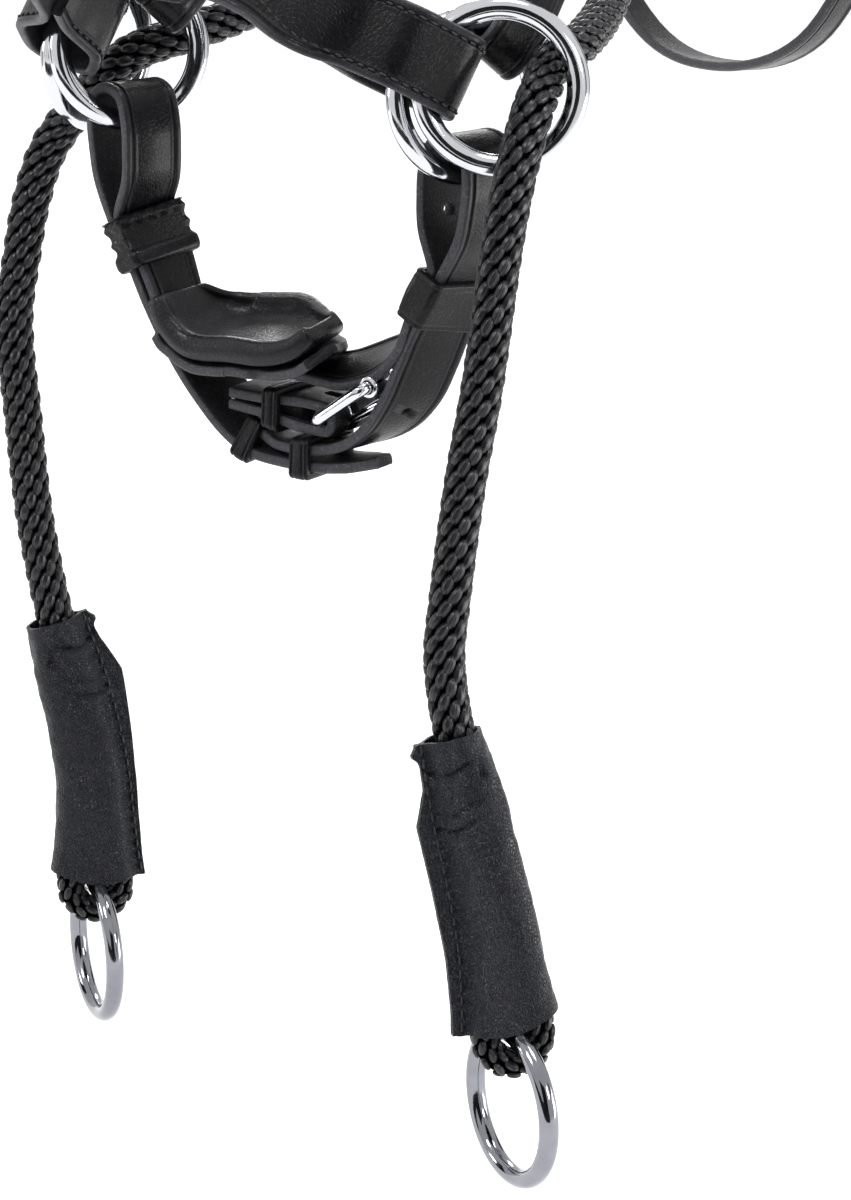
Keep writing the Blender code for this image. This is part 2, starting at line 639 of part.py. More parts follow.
# The sleeve's middle line from its top to its bottom end
SLEEVE_ROUTES = {
    "left": [(85.1, -40.7, -173.1), (94.4, -39.4, -206.1), (100.8, -38.5, -231.3), (106.1, -38.9, -258.0)],
    "right": [(-97.1, 0.8, -186.5), (-90.8, 3.8, -212.6), (-85.7, 4.8, -238.4), (-82.8, 2.8, -270.7)],
}
# How far the flat of the sleeve and the rein ring's face are turned, as azimuths
SLEEVE_AZIMUTH = {"left": 48, "right": 46}
REIN_RING_AZIMUTH = {"left": -27, "right": -34}
EYE_RADIUS = REIN_RING_WIRE / 2 + GAP * 2 + ROPE_EYE / 2
# How far the middle of the rope's eye lies below the sleeve, and the sleeve's bottom above its line's end
EYE_DROP = 3.8
SLEEVE_LIFT = 2.0
# The two runs of rope in the sleeve: share of the way down, distance from the middle, rope diameter
SPREAD = [(0.0, 1.0, ROPE), (0.14, 3.4, 10.4), (0.28, 4.9, ROPE_EYE), (0.5, 5.2, ROPE_EYE),
          (0.75, 6.0, ROPE_EYE), (1.0, EYE_RADIUS, ROPE_EYE)]


def spread(share):
    for (a, off_a, wide_a), (b, off_b, wide_b) in zip(SPREAD, SPREAD[1:]):
        if share <= b + 1e-6:
            t = (share - a) / (b - a)
            return off_a + (off_b - off_a) * t, wide_a + (wide_b - wide_a) * t


def along_line(points, count):
    """Points at even distances along a line of points."""
    lengths = [0]
    for a, b in zip(points, points[1:]):
        lengths.append(lengths[-1] + (b - a).length)
    out = []
    for k in range(count):
        want = lengths[-1] * k / (count - 1)
        j = next(i for i in range(1, len(points)) if lengths[i] >= want - 1e-9)
        out.append(points[j - 1].lerp(points[j], (want - lengths[j - 1]) / (lengths[j] - lengths[j - 1])))
    return out


def rope(side):
    line = along_line(smooth([mouth(*p) for p in SLEEVE_ROUTES[side]], 8), 9)
    length = sum((b - a).length for a, b in zip(line, line[1:]))
    bottom = line[-1]
    down = (line[-1] - line[-2]).normalized()
    line = [bottom + (point - bottom) * SLEEVE_LENGTH / length - down * SLEEVE_LIFT for point in line]
    a = math.radians(SLEEVE_AZIMUTH[side])
    broad = Vector((math.cos(a), math.sin(a), 0))
    inward = 1 if side == "right" else -1
    stations = frames(line, broad, 1)
    outer, inner, run, back = [], [], [], []
    for k, (point, wide, thick) in enumerate(stations):
        share = k / (len(stations) - 1)
        off, size = spread(share)
        bore = (size / 2 + GAP) * 1.06 + (0.5 if k == 0 else 0)
        wall = bore + SLEEVE_WALL
        seam = min(SEAM_WIDTH, SEAM_WIDTH * (0.4 + share * 4))
        root = math.asin(SEAM_THICKNESS / 2 / wall)
        right_end = [(off + wall * math.cos(t), wall * math.sin(t)) for t in (math.radians(d) for d in
                                                                              (-90, -50, 0, 50, 90))]
        edge = [(-off - wall * math.cos(root), SEAM_THICKNESS / 2), (-off - wall - seam, SEAM_THICKNESS / 2)]
        left_end = [(-off, wall), (-off - wall * math.sin(0.8), wall * math.cos(0.8)), *edge]
        shape = right_end + left_end + [(x, -y) for x, y in reversed(left_end)]
        holes = [(off + bore * math.cos(t), bore * math.sin(t)) for t in (math.radians(d) for d in
                                                                          (-90, -50, 0, 50, 90))]
        holes += [(-off + bore * math.cos(t), bore * math.sin(t)) for t in
                  (math.radians(d) for d in (90, 120, 150, 172, 188, 210, 240, 270))]
        outer.append([point + wide * x * -inward + thick * y for x, y in shape])
        inner.append([point + wide * x * -inward + thick * y for x, y in holes])
        run.append((point + wide * off, size / 2))
        if share > 0.2:
            back.append((point - wide * off, size / 2))
    loft("rope_sleeve_" + side, outer + list(reversed(inner)), SOFT_BLACK, closed=True)
    point, wide, _ = stations[-1]
    point = point + down * EYE_DROP
    eye = [(point + (wide * math.cos(t) + down * math.sin(t)) * EYE_RADIUS, ROPE_EYE / 2)
           for t in (math.radians(d) for d in range(18, 180, 18))]
    free = smooth([mouth(*p) for p in ROPE_ROUTES[side]] + [run[0][0], run[1][0]], 2)[:-3]
    whole = [(p, ROPE / 2) for p in free] + run + eye + list(reversed(back))
    route = [p for p, _ in whole]
    made = tube("rope_" + side, route, ROPE, ROPE_BLACK, radii=[r / (ROPE / 2) for _, r in whole])
    ring = Ring("rein_ring_" + side, point, REIN_RING_AZIMUTH[side], 0, REIN_RING_OUTER, REIN_RING_WIRE)
    ring.centre = point - ring.up * ring.radius
    ring.build(origin=point)
    return made, route


def rope_anchor(side, end, toward, stations):
    """The leather tab that holds a rope's upper end under the crown."""
    start, ways = sewn_inside(stations[side], end, -4, 2)
    back = (end - toward).normalized()
    route = start + [end + back * 14, end + back * (GAP + 5), end + back * GAP]
    stations = frames(route, alike(ways, THROAT_ACROSS) + [THROAT_ACROSS] * 3, 3)
    last = len(stations) - 1
    sections = []
    for k, (point, across, out) in enumerate(stations):
        grow = max(0, (k / last - 0.62) / 0.38)
        wide = 16 + (ROPE + 1 - 16) * grow
        thick = LEATHER + (ROPE + 1 - LEATHER) * grow
        sections.append([point + across * wide / 2 * math.cos(t) + out * thick / 2 * math.sin(t)
                         for t in (2 * math.pi * (j + 0.5) / 8 for j in range(8))])
    loft("rope_anchor_" + side, sections, LEATHER_BLACK)


def main():
    clear_scene()
    for item in RINGS.values():
        item.build()
    noseband()
    chin()
    heels = {side: cheek(side) for side in ("left", "right")}
    stations = headpiece(heels)
    browband(stations)
    throatlatch(stations)
    for side, far in (("left", "right"), ("right", "left")):
        _, route = rope(side)
        rope_anchor(far, route[0], route[1], stations)


main()
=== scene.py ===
"""The looks of a black leather bitless bridle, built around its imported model.

Sizes and places are in millimetres, as a saddler gives them, and MM turns them into metres where a
mesh is made. +Z is up, -Y is forward and +X is the horse's left.
"""
import math

import bmesh
import bpy
from mathutils import Matrix, Vector, noise


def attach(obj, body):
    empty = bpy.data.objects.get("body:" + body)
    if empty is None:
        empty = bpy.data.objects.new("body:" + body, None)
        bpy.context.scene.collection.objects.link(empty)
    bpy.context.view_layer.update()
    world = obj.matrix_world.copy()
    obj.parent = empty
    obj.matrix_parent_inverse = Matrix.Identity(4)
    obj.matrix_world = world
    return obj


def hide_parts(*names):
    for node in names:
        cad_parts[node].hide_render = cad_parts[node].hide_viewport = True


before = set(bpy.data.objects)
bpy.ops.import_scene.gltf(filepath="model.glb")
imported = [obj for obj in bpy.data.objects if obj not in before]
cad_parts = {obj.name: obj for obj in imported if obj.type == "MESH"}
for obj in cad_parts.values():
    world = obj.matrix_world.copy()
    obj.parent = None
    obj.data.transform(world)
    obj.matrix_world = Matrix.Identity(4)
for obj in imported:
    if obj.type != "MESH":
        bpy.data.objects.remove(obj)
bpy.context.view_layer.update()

# The camera stands in front of the horse's left cheek and looks down at the lower half of the
# bridle, as the photograph does; the rest is above the picture's upper edge.
lens = bpy.data.cameras.new("camera")
lens.sensor_width = 36
lens.lens = 111.4
lens.shift_x = 0.03
lens.shift_y = -0.10
camera = bpy.data.objects.new("camera", lens)
camera.matrix_world = (Matrix.Translation((0.6417, -1.1215, -0.1402))
    @ Matrix.Rotation(math.radians(35.496), 4, "Z")
    @ Matrix.Rotation(math.radians(90 - 15.594), 4, "X")
    @ Matrix.Rotation(math.radians(0.386), 4, "Z"))
bpy.context.collection.objects.link(camera)
bpy.context.scene.camera = camera

# The two ropes are 12 mm solid braid in black polyamide. Each is sewn in a tab under the crown,
# crosses under the jaw, runs through the outer ring of the other cheek and turns round a rein ring.
MM = 0.001
ROPE = 12.0
ROPE_EYE = 9.0
REIN_RING_WIRE = 5.7
SLEEVE_LENGTH = 85.0
SLEEVE_LIFT = 2.0
EYE_DROP = 3.8
EYE_RADIUS = REIN_RING_WIRE / 2 + 0.6 + ROPE_EYE / 2
MOUTH = Vector((0, -270, -315))
ROPE_ROUTES = {"left": [(-62, 226, 243), (-64, 218, 215), (-67, 204, 180), (-64, 184, 134),
    (-38, 164, 88), (0, 148, 66), (40, 115, 40), (61.6, 71.9, 18.4), (75.6, 33.9, 11),
    (77.3, 18.1, 8.3), (81.3, 6, 2.8), (84.1, -3.3, -3.3), (85.5, -13.2, -19.3),
    (85.1, -19.2, -40.5), (84.3, -26, -75.9), (82.7, -31.7, -103.4), (82.1, -37.7, -135.8),
    (82.2, -40, -153.2)], "right": [(62, 226, 243), (64, 218, 215), (67, 204, 180), (62, 182, 128),
    (38, 164, 76), (2, 146, 46), (-36, 112, 26), (-59.1, 70.3, 8.8), (-60.8, 51.7, 4.8),
    (-65.4, 34.8, 1.1), (-76, 20.6, -4.1), (-85.7, 15.2, -13.2), (-97.2, 14.1, -25.3),
    (-103.6, 9.3, -37.5), (-107.3, 5.7, -53.7), (-108.6, 2.6, -69.7), (-109.5, -0.2, -85.8),
    (-108.2, -1.3, -101.9), (-106.9, -0.7, -115.8), (-104.2, -0.4, -142.2), (-101.5, 0.0, -160.0)]}
SLEEVE_ROUTES = {"left": [(85.1, -40.7, -173.1), (94.4, -39.4, -206.1), (100.8, -38.5, -231.3),
    (106.1, -38.9, -258.0)], "right": [(-97.1, 0.8, -186.5), (-90.8, 3.8, -212.6),
    (-85.7, 4.8, -238.4), (-82.8, 2.8, -270.7)]}
SLEEVE_AZIMUTH = {"left": 48, "right": 46}
# The two runs of rope in the sleeve: share of the way down, distance from the middle, rope diameter
SPREAD = [(0.0, 1.0, ROPE), (0.14, 3.4, 10.4), (0.28, 4.9, ROPE_EYE), (0.5, 5.2, ROPE_EYE),
    (0.75, 6.0, ROPE_EYE), (1.0, EYE_RADIUS, ROPE_EYE)]


def mouth(x, y, z):
    """A point given from the middle of the mouth, where the lower half is laid out from."""
    return MOUTH + Vector((x, y, z))


def curve_point(a, b, c, d, t):
    """A point between b and c on the smooth curve through four points."""
    return 0.5 * (2 * b + (c - a) * t + (2 * a - 5 * b + 4 * c - d) * t * t
        + (3 * b - a - 3 * c + d) * t ** 3)


def smooth(points, steps):
    """Read points from a smooth curve through the given ones."""
    padded = [points[0] * 2 - points[1], *points, points[-1] * 2 - points[-2]]
    out = []
    for k in range(len(points) - 1):
        out += [curve_point(*padded[k:k + 4], step / steps) for step in range(steps)]
    out.append(points[-1].copy())
    return out


def tangents(points):
    last = len(points) - 1
    return [(points[min(k + 1, last)] - points[max(k - 1, 0)]).normalized()
        for k in range(last + 1)]


def stations_of(route, across, steps):
    """Points along a strap, with the direction across it and the one out of its face."""
    points = smooth(route, steps)
    sides = smooth(across, steps) if isinstance(across, list) else [across] * len(points)
    out = []
    for point, along, side in zip(points, tangents(points), sides):
        side = (side - along * side.dot(along)).normalized()
        out.append((point, side, along.cross(side).normalized()))
    return out


def evenly(points, count):
    """Points at even distances along a line of points."""
    lengths = [0]
    for a, b in zip(points, points[1:]):
        lengths.append(lengths[-1] + (b - a).length)
    out = []
    for k in range(count):
        want = lengths[-1] * k / (count - 1)
        j = next(i for i in range(1, len(points)) if lengths[i] >= want - 1e-9)
        t = (want - lengths[j - 1]) / (lengths[j] - lengths[j - 1])
        out.append(points[j - 1].lerp(points[j], t))
    return out


def between(table, share):
    """Read a row of numbers from a table whose first column is the share of the way."""
    for low, high in zip(table, table[1:]):
        if share <= high[0] + 1e-6:
            t = (share - low[0]) / (high[0] - low[0])
            return [a + (b - a) * t for a, b in zip(low[1:], high[1:])]


def sleeve_line(side):
    """Stations down the middle of a sleeve, and the direction that it points down in."""
    line = evenly(smooth([mouth(*p) for p in SLEEVE_ROUTES[side]], 8), 9)
    length = sum((b - a).length for a, b in zip(line, line[1:]))
    bottom = line[-1]
    down = (line[-1] - line[-2]).normalized()
    line = [bottom + (point - bottom) * SLEEVE_LENGTH / length - down * SLEEVE_LIFT
        for point in line]
    a = math.radians(SLEEVE_AZIMUTH[side])
    line = evenly(smooth(line, 6), 97)
    return stations_of(line, Vector((math.cos(a), math.sin(a), 0)), 1), down


def rope_line(side):
    """Centreline points and radii of a rope, from its sewn end to its end in the sleeve."""
    stations, down = sleeve_line(side)
    run, back = [], []
    for k, (point, wide, thick) in enumerate(stations[::6]):
        share = k / 16
        off, size = between(SPREAD, share)
        run.append((point + wide * off, size / 2))
        if share > 0.2:
            back.append((point - wide * off, size / 2))
    point, wide, _ = stations[-1]
    eye = point + down * EYE_DROP
    turn = [(eye + (wide * math.cos(t) + down * math.sin(t)) * EYE_RADIUS, ROPE_EYE / 2)
        for t in (math.radians(d) for d in range(9, 180, 9))]
    free = smooth([mouth(*p) for p in ROPE_ROUTES[side]] + [run[0][0], run[2][0]], 6)[:-7]
    whole = [(p, ROPE / 2) for p in free] + run + turn + list(reversed(back))
    return [p for p, _ in whole], [r for _, r in whole], eye


def colour(code):
    """Linear colour of an sRGB hex value."""
    parts = [int(code[k:k + 2], 16) / 255 for k in (1, 3, 5)]
    return (*[c / 12.92 if c <= 0.04045 else ((c + 0.055) / 1.055) ** 2.4 for c in parts], 1)


def add_node(tree, kind, inputs=None, **settings):
    """Add one node. An input gets a value, or the output socket that feeds it."""
    made = tree.nodes.new(kind)
    for name, value in settings.items():
        setattr(made, name, value)
    for place, value in (inputs or {}).items():
        if isinstance(value, bpy.types.NodeSocket):
            tree.links.new(value, made.inputs[place])
        else:
            made.inputs[place].default_value = value
    return made


def new_material(name, code, sockets=None):
    """A material, its tree and its Principled shader, which gets the named values."""
    made = bpy.data.materials.new(name)
    made.use_nodes = True
    shader = made.node_tree.nodes["Principled BSDF"]
    shader.inputs["Base Color"].default_value = colour(code)
    for socket, value in (sockets or {}).items():
        shader.inputs[socket].default_value = value
    return made, made.node_tree, shader


# Braided polyamide: glossy filaments laid side by side in each plait, with painted shade in the
# gaps between, where a near-black core without gloss shows.
# The filaments are 0.05 mm thick in the real rope, and are drawn as 0.5 mm so that they show.
plait, tree, shader = new_material("polyamide_braid", "#17171b",
    {"Roughness": 0.32, "Specular IOR Level": 0.38, "Sheen Weight": 0.04, "Sheen Roughness": 0.4})
where = add_node(tree, "ShaderNodeUVMap", uv_map="UVMap")
strands = add_node(tree, "ShaderNodeTexWave",
    {"Vector": where.outputs[0], "Scale": 2.6, "Distortion": 1.2, "Detail": 1.0,
    "Detail Scale": 2.0}, bands_direction="X")
place = add_node(tree, "ShaderNodeTexCoord")
dust = add_node(tree, "ShaderNodeTexNoise",
    {"Vector": place.outputs["Object"], "Scale": 420.0, "Detail": 2.0})
shade = add_node(tree, "ShaderNodeMix", {0: dust.outputs[0], 6: colour("#0b0b0d"),
    7: colour("#1e1e23")}, data_type="RGBA")
tree.links.new(shade.outputs[2], shader.inputs["Base Color"])
lay = add_node(tree, "ShaderNodeBump", {"Height": strands.outputs[1], "Strength": 0.35,
    "Distance": 0.0003})
tree.links.new(lay.outputs[0], shader.inputs["Normal"])
# The core is near black and without gloss: painted shade in the gaps between the plaits
rope_core_painted_shade, tree, shader = new_material("polyamide_core_painted_shade", "#030303",
    {"Roughness": 0.9, "Specular IOR Level": 0.0})
place = add_node(tree, "ShaderNodeTexCoord")
dust = add_node(tree, "ShaderNodeTexNoise", {"Vector": place.outputs["Object"], "Scale": 900.0})
lay = add_node(tree, "ShaderNodeBump", {"Height": dust.outputs[0], "Strength": 0.4,
    "Distance": 0.0003})
tree.links.new(lay.outputs[0], shader.inputs["Normal"])


def new_tree(name, sockets):
    """A Geometry Nodes tree with a geometry in and out and the named inputs."""
    tree = bpy.data.node_groups.new(name, "GeometryNodeTree")
    tree.interface.new_socket("Geometry", in_out="INPUT", socket_type="NodeSocketGeometry")
    for label, kind in sockets:
        tree.interface.new_socket(label, in_out="INPUT", socket_type="NodeSocket" + kind)
    tree.interface.new_socket("Geometry", in_out="OUTPUT", socket_type="NodeSocketGeometry")
    return tree, tree.nodes.new("NodeGroupInput"), tree.nodes.new("NodeGroupOutput")


def grown(name, tree, points, values, radii=None):
    """Run a tree on a line of points and keep what it grows as a plain mesh."""
    data = bpy.data.curves.new(name, "CURVE")
    data.dimensions = "3D"
    spline = data.splines.new("POLY")
    spline.points.add(len(points) - 1)
    for k, point in enumerate(points):
        spline.points[k].co = (*(point * MM), 1)
        spline.points[k].radius = (radii[k] if radii else 1.0) * MM
    line = bpy.data.objects.new(name + "_line", data)
    bpy.context.collection.objects.link(line)
    modifier = line.modifiers.new("grow", "NODES")
    modifier.node_group = tree
    for item in tree.interface.items_tree:
        if item.in_out == "INPUT" and item.name in values:
            modifier[item.identifier] = values[item.name]
    bpy.context.view_layer.update()
    shown = line.evaluated_get(bpy.context.evaluated_depsgraph_get())
    made = bpy.data.objects.new(name, bpy.data.meshes.new_from_object(shown))
    bpy.data.objects.remove(line)
    bpy.context.collection.objects.link(made)
    return made


# The braid: twelve plaits round the rope, each a slanted oval that stands on a near-black core,
# which is painted shade in the gaps. Each plait sits seven twelfths of a pitch further on than its
# neighbour.
STAGGER = 7 / 12
# The plaits stand at this share of the rope's radius; their half sizes are for a radius of 6 mm
CORE_SHARE = 0.82
PLAIT_ROPE_RADIUS = 6
PLAIT_SIZE = (0.00168, 0.0031, 0.0013)
braid, given, result = new_tree("braid", [("Pitch", "Float"), ("Plaits", "Int"), ("Slant", "Float"),
    ("Seed", "Int"), ("Plait", "Material"), ("Core", "Material")])
line = given.outputs["Geometry"]
reach = add_node(braid, "GeometryNodeCurveLength", {0: line})
rows = add_node(braid, "ShaderNodeMath", {0: reach.outputs[0], 1: given.outputs["Pitch"]},
    operation="DIVIDE")
rows = add_node(braid, "ShaderNodeMath", {0: rows.outputs[0]}, operation="FLOOR")
count = add_node(braid, "ShaderNodeMath", {0: rows.outputs[0], 1: given.outputs["Plaits"]},
    operation="MULTIPLY")
number = add_node(braid, "GeometryNodeInputIndex")
row = add_node(braid, "ShaderNodeMath", {0: number.outputs[0], 1: given.outputs["Plaits"]},
    operation="DIVIDE")
row = add_node(braid, "ShaderNodeMath", {0: row.outputs[0]}, operation="FLOOR")
column = add_node(braid, "ShaderNodeMath", {0: number.outputs[0], 1: given.outputs["Plaits"]},
    operation="FLOORED_MODULO")
offset = add_node(braid, "ShaderNodeMath", {0: column.outputs[0], 1: STAGGER}, operation="MULTIPLY")
offset = add_node(braid, "ShaderNodeMath", {0: offset.outputs[0]}, operation="FRACT")
far = add_node(braid, "ShaderNodeMath", {0: row.outputs[0], 1: offset.outputs[0]}, operation="ADD")
far = add_node(braid, "ShaderNodeMath", {0: far.outputs[0], 1: given.outputs["Pitch"]},
    operation="MULTIPLY")
wide = add_node(braid, "GeometryNodeInputRadius")
there = add_node(braid, "GeometryNodeSampleCurve",
    {"Curves": line, "Value": wide.outputs[0], "Length": far.outputs[0]}, mode="LENGTH")
turn = add_node(braid, "ShaderNodeMath", {0: 2 * math.pi, 1: given.outputs["Plaits"]},
    operation="DIVIDE")
turn = add_node(braid, "ShaderNodeMath", {0: column.outputs[0], 1: turn.outputs[0]},
    operation="MULTIPLY")
cosine = add_node(braid, "ShaderNodeMath", {0: turn.outputs[0]}, operation="COSINE")
sine = add_node(braid, "ShaderNodeMath", {0: turn.outputs[0]}, operation="SINE")
other = add_node(braid, "ShaderNodeVectorMath",
    {0: there.outputs["Tangent"], 1: there.outputs["Normal"]}, operation="CROSS_PRODUCT")
part_a = add_node(braid, "ShaderNodeVectorMath",
    {0: there.outputs["Normal"], "Scale": cosine.outputs[0]}, operation="SCALE")
part_b = add_node(braid, "ShaderNodeVectorMath", {0: other.outputs[0], "Scale": sine.outputs[0]},
    operation="SCALE")
outward = add_node(braid, "ShaderNodeVectorMath", {0: part_a.outputs[0], 1: part_b.outputs[0]},
    operation="ADD")
rise = add_node(braid, "ShaderNodeMath", {0: there.outputs["Value"], 1: CORE_SHARE},
    operation="MULTIPLY")
stand = add_node(braid, "ShaderNodeVectorMath", {0: outward.outputs[0], "Scale": rise.outputs[0]},
    operation="SCALE")
spot = add_node(braid, "ShaderNodeVectorMath", {0: there.outputs["Position"], 1: stand.outputs[0]},
    operation="ADD")
facing = add_node(braid, "FunctionNodeAxesToRotation",
    {0: outward.outputs[0], 1: there.outputs["Tangent"]}, primary_axis="Z", secondary_axis="Y")
wobble = add_node(braid, "FunctionNodeRandomValue",
    {2: -0.10, 3: 0.10, "Seed": given.outputs["Seed"]})
slanted = add_node(braid, "ShaderNodeMath", {0: given.outputs["Slant"], 1: wobble.outputs[1]},
    operation="ADD")
spin = add_node(braid, "FunctionNodeAxisAngleToRotation",
    {"Axis": (0, 0, 1), "Angle": slanted.outputs[0]})
facing = add_node(braid, "FunctionNodeRotateRotation", {0: facing.outputs[0], 1: spin.outputs[0]},
    rotation_space="LOCAL")
size = add_node(braid, "ShaderNodeMath", {0: there.outputs["Value"], 1: 1000 / PLAIT_ROPE_RADIUS},
    operation="MULTIPLY")
ball = add_node(braid, "GeometryNodeMeshUVSphere", {"Segments": 8, "Rings": 6, "Radius": 1.0})
marked = add_node(braid, "GeometryNodeStoreNamedAttribute",
    {"Geometry": ball.outputs[0], "Name": "UVMap", "Value": ball.outputs[1]}, data_type="FLOAT2",
    domain="CORNER")
oval = add_node(braid, "GeometryNodeTransform",
    {"Geometry": marked.outputs[0], "Rotation": (math.pi / 2, 0, 0)})
oval = add_node(braid, "GeometryNodeTransform", {"Geometry": oval.outputs[0], "Scale": PLAIT_SIZE})
dots = add_node(braid, "GeometryNodePoints",
    {"Count": count.outputs[0], "Position": spot.outputs[0]})
plaits = add_node(braid, "GeometryNodeInstanceOnPoints",
    {"Points": dots.outputs[0], "Instance": oval.outputs[0], "Rotation": facing.outputs[0],
    "Scale": size.outputs[0]})
plaits = add_node(braid, "GeometryNodeRealizeInstances", {0: plaits.outputs[0]})
plaits = add_node(braid, "GeometryNodeSetShadeSmooth", {0: plaits.outputs[0]})
plaits = add_node(braid, "GeometryNodeSetMaterial",
    {"Geometry": plaits.outputs[0], "Material": given.outputs["Plait"]})
circle = add_node(braid, "GeometryNodeCurvePrimitiveCircle", {"Resolution": 16, "Radius": 0.78})
core = add_node(braid, "GeometryNodeCurveToMesh",
    {"Curve": line, "Profile Curve": circle.outputs[0], "Scale": wide.outputs[0],
    "Fill Caps": True})
core = add_node(braid, "GeometryNodeSetShadeSmooth", {0: core.outputs[0]})
core = add_node(braid, "GeometryNodeSetMaterial",
    {"Geometry": core.outputs[0], "Material": given.outputs["Core"]})
whole = add_node(braid, "GeometryNodeJoinGeometry")
braid.links.new(core.outputs[0], whole.inputs[0])
braid.links.new(plaits.outputs[0], whole.inputs[0])
braid.links.new(whole.outputs[0], result.inputs[0])

ropes, eyes, lines = {}, {}, {}
for side in ("left", "right"):
    points, radii, eyes[side] = rope_line(side)
    lines[side] = [point * MM for point in points]
    made = grown("rope_" + side, braid, points,
        {"Pitch": 0.0066, "Plaits": 12, "Slant": -0.36, "Seed": 3, "Plait": plait,
        "Core": rope_core_painted_shade}, radii)
    made.name = "braid_" + side
    ropes[side] = made
    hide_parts("rope_" + side)
    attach(made, "bridle")

# Each sleeve is soft chrome-tanned leather, folded round both runs of the rope and sewn together
# along one side, where its two edges stand out as a flat seam. Its lower end is open for the eye.
SLEEVE_WALL = 1.0
SEAM_THICKNESS = 2.8


def skin(name, sections, materials, bands=None, closed=False, around=True):
    """Skin equal rows of corners. The rows close round when around is set, and the ends get caps.

    bands gives a material number for each step along a row. The UV map runs in units of 10 mm:
    across the row first, then along the piece.
    """
    count = len(sections[0])
    steps = count if around else count - 1
    work = bmesh.new()
    grid = [[work.verts.new(corner * MM) for corner in section] for section in sections]
    marks = work.loops.layers.uv.new("UVMap")
    along = [0.0]
    for a, b in zip(sections, sections[1:] + sections[:1]):
        along.append(along[-1] + sum((q - p).length for p, q in zip(a, b)) / count / 10)
    for k in range(len(sections) if closed else len(sections) - 1):
        there = (k + 1) % len(sections)
        side = 0.0
        for j in range(steps):
            after = (j + 1) % count
            width = (sections[k][after] - sections[k][j]).length / 10
            face = work.faces.new((grid[k][j], grid[k][after], grid[there][after], grid[there][j]))
            face.material_index = bands[j] if bands else 0
            for loop, place in zip(face.loops,
                    ((side, along[k]), (side + width, along[k]), (side + width, along[k + 1]),
                    (side, along[k + 1]))):
                loop[marks].uv = place
            side += width
    if around and not closed:
        for end in (0, -1):
            face = work.faces.new(grid[end])
            face.material_index = max(bands) if bands else 0
    bmesh.ops.recalc_face_normals(work, faces=work.faces)
    data = bpy.data.meshes.new(name)
    work.to_mesh(data)
    work.free()
    data.shade_smooth()
    data.set_sharp_from_angle(angle=math.radians(50))
    made = bpy.data.objects.new(name, data)
    for item in materials:
        data.materials.append(item)
    bpy.context.collection.objects.link(made)
    return made


def leather(name, code, dark, light, grain, relief, rough, scuff, sockets):
    """A leather with grain cells, cloudy dye, pale scuffs and painted shade darkening the grain's
    valleys; grain is the cell size in mm.
    """
    material, tree, shader = new_material(name, code, sockets)
    place = add_node(tree, "ShaderNodeTexCoord").outputs["Object"]
    bent = add_node(tree, "ShaderNodeTexNoise", {"Vector": place, "Scale": 260.0, "Detail": 1.0})
    moved = add_node(tree, "ShaderNodeVectorMath", {0: bent.outputs[1], "Scale": grain * 0.0006},
        operation="SCALE")
    moved = add_node(tree, "ShaderNodeVectorMath", {0: place, 1: moved.outputs[0]}, operation="ADD")
    cells = add_node(tree, "ShaderNodeTexVoronoi",
        {"Vector": moved.outputs[0], "Scale": 1000 / grain}, feature="DISTANCE_TO_EDGE")
    valley = add_node(tree, "ShaderNodeMapRange", {0: cells.outputs[0], 1: 0.0, 2: 0.22})
    cloud = add_node(tree, "ShaderNodeTexNoise",
        {"Vector": place, "Scale": 70.0, "Detail": 4.0, "Roughness": 0.6})
    fine = add_node(tree, "ShaderNodeTexNoise", {"Vector": place, "Scale": 900.0, "Detail": 2.0})
    dye_and_painted_light = add_node(tree, "ShaderNodeMix", {0: cloud.outputs[0], 6: colour(dark), 7: colour(light)},
        data_type="RGBA")
    # Painted shade: the colour is darkened in the grain's valleys, the more so the deeper the
    # relief
    hollow = add_node(tree, "ShaderNodeMapRange",
        {0: valley.outputs[0], 1: 0.0, 2: 1.0, 3: 1 - 0.25 * relief, 4: 1.0})
    dye_and_painted_light = add_node(tree, "ShaderNodeMix", {0: 1.0, 6: dye_and_painted_light.outputs[2], 7: hollow.outputs[0]},
        data_type="RGBA", blend_type="MULTIPLY")
    # Lighter edges and scuffs: the edge attribute is part edge wear, part painted highlight on rims
    # and bevels
    edge = add_node(tree, "ShaderNodeAttribute", attribute_name="edge_wear_and_highlight")
    rub = add_node(tree, "ShaderNodeMapRange",
        {0: fine.outputs[0], 1: 0.56, 2: 0.74, 3: 0.0, 4: scuff})
    wear_and_sheen = add_node(tree, "ShaderNodeMath", {0: edge.outputs["Fac"], 1: 0.35, 2: rub.outputs[0]},
        operation="MULTIPLY_ADD")
    dye_and_painted_light = add_node(tree, "ShaderNodeMix",
        {0: wear_and_sheen.outputs[0], 6: dye_and_painted_light.outputs[2], 7: colour("#5a5960")}, data_type="RGBA")
    tree.links.new(dye_and_painted_light.outputs[2], shader.inputs["Base Color"])
    matt = add_node(tree, "ShaderNodeMapRange",
        {0: cloud.outputs[0], 1: 0.3, 2: 0.7, 3: rough - 0.07, 4: rough + 0.09})
    tree.links.new(matt.outputs[0], shader.inputs["Roughness"])
    low = add_node(tree, "ShaderNodeBump",
        {"Height": cloud.outputs[0], "Strength": 0.5, "Distance": 0.0006})
    high = add_node(tree, "ShaderNodeBump",
        {"Height": valley.outputs[0], "Strength": 1.0, "Distance": 0.00012 * relief,
        "Normal": low.outputs[0]})
    last = add_node(tree, "ShaderNodeBump",
        {"Height": fine.outputs[0], "Strength": 0.3, "Distance": 0.0001, "Normal": high.outputs[0]})
    tree.links.new(last.outputs[0], shader.inputs["Normal"])
    return material


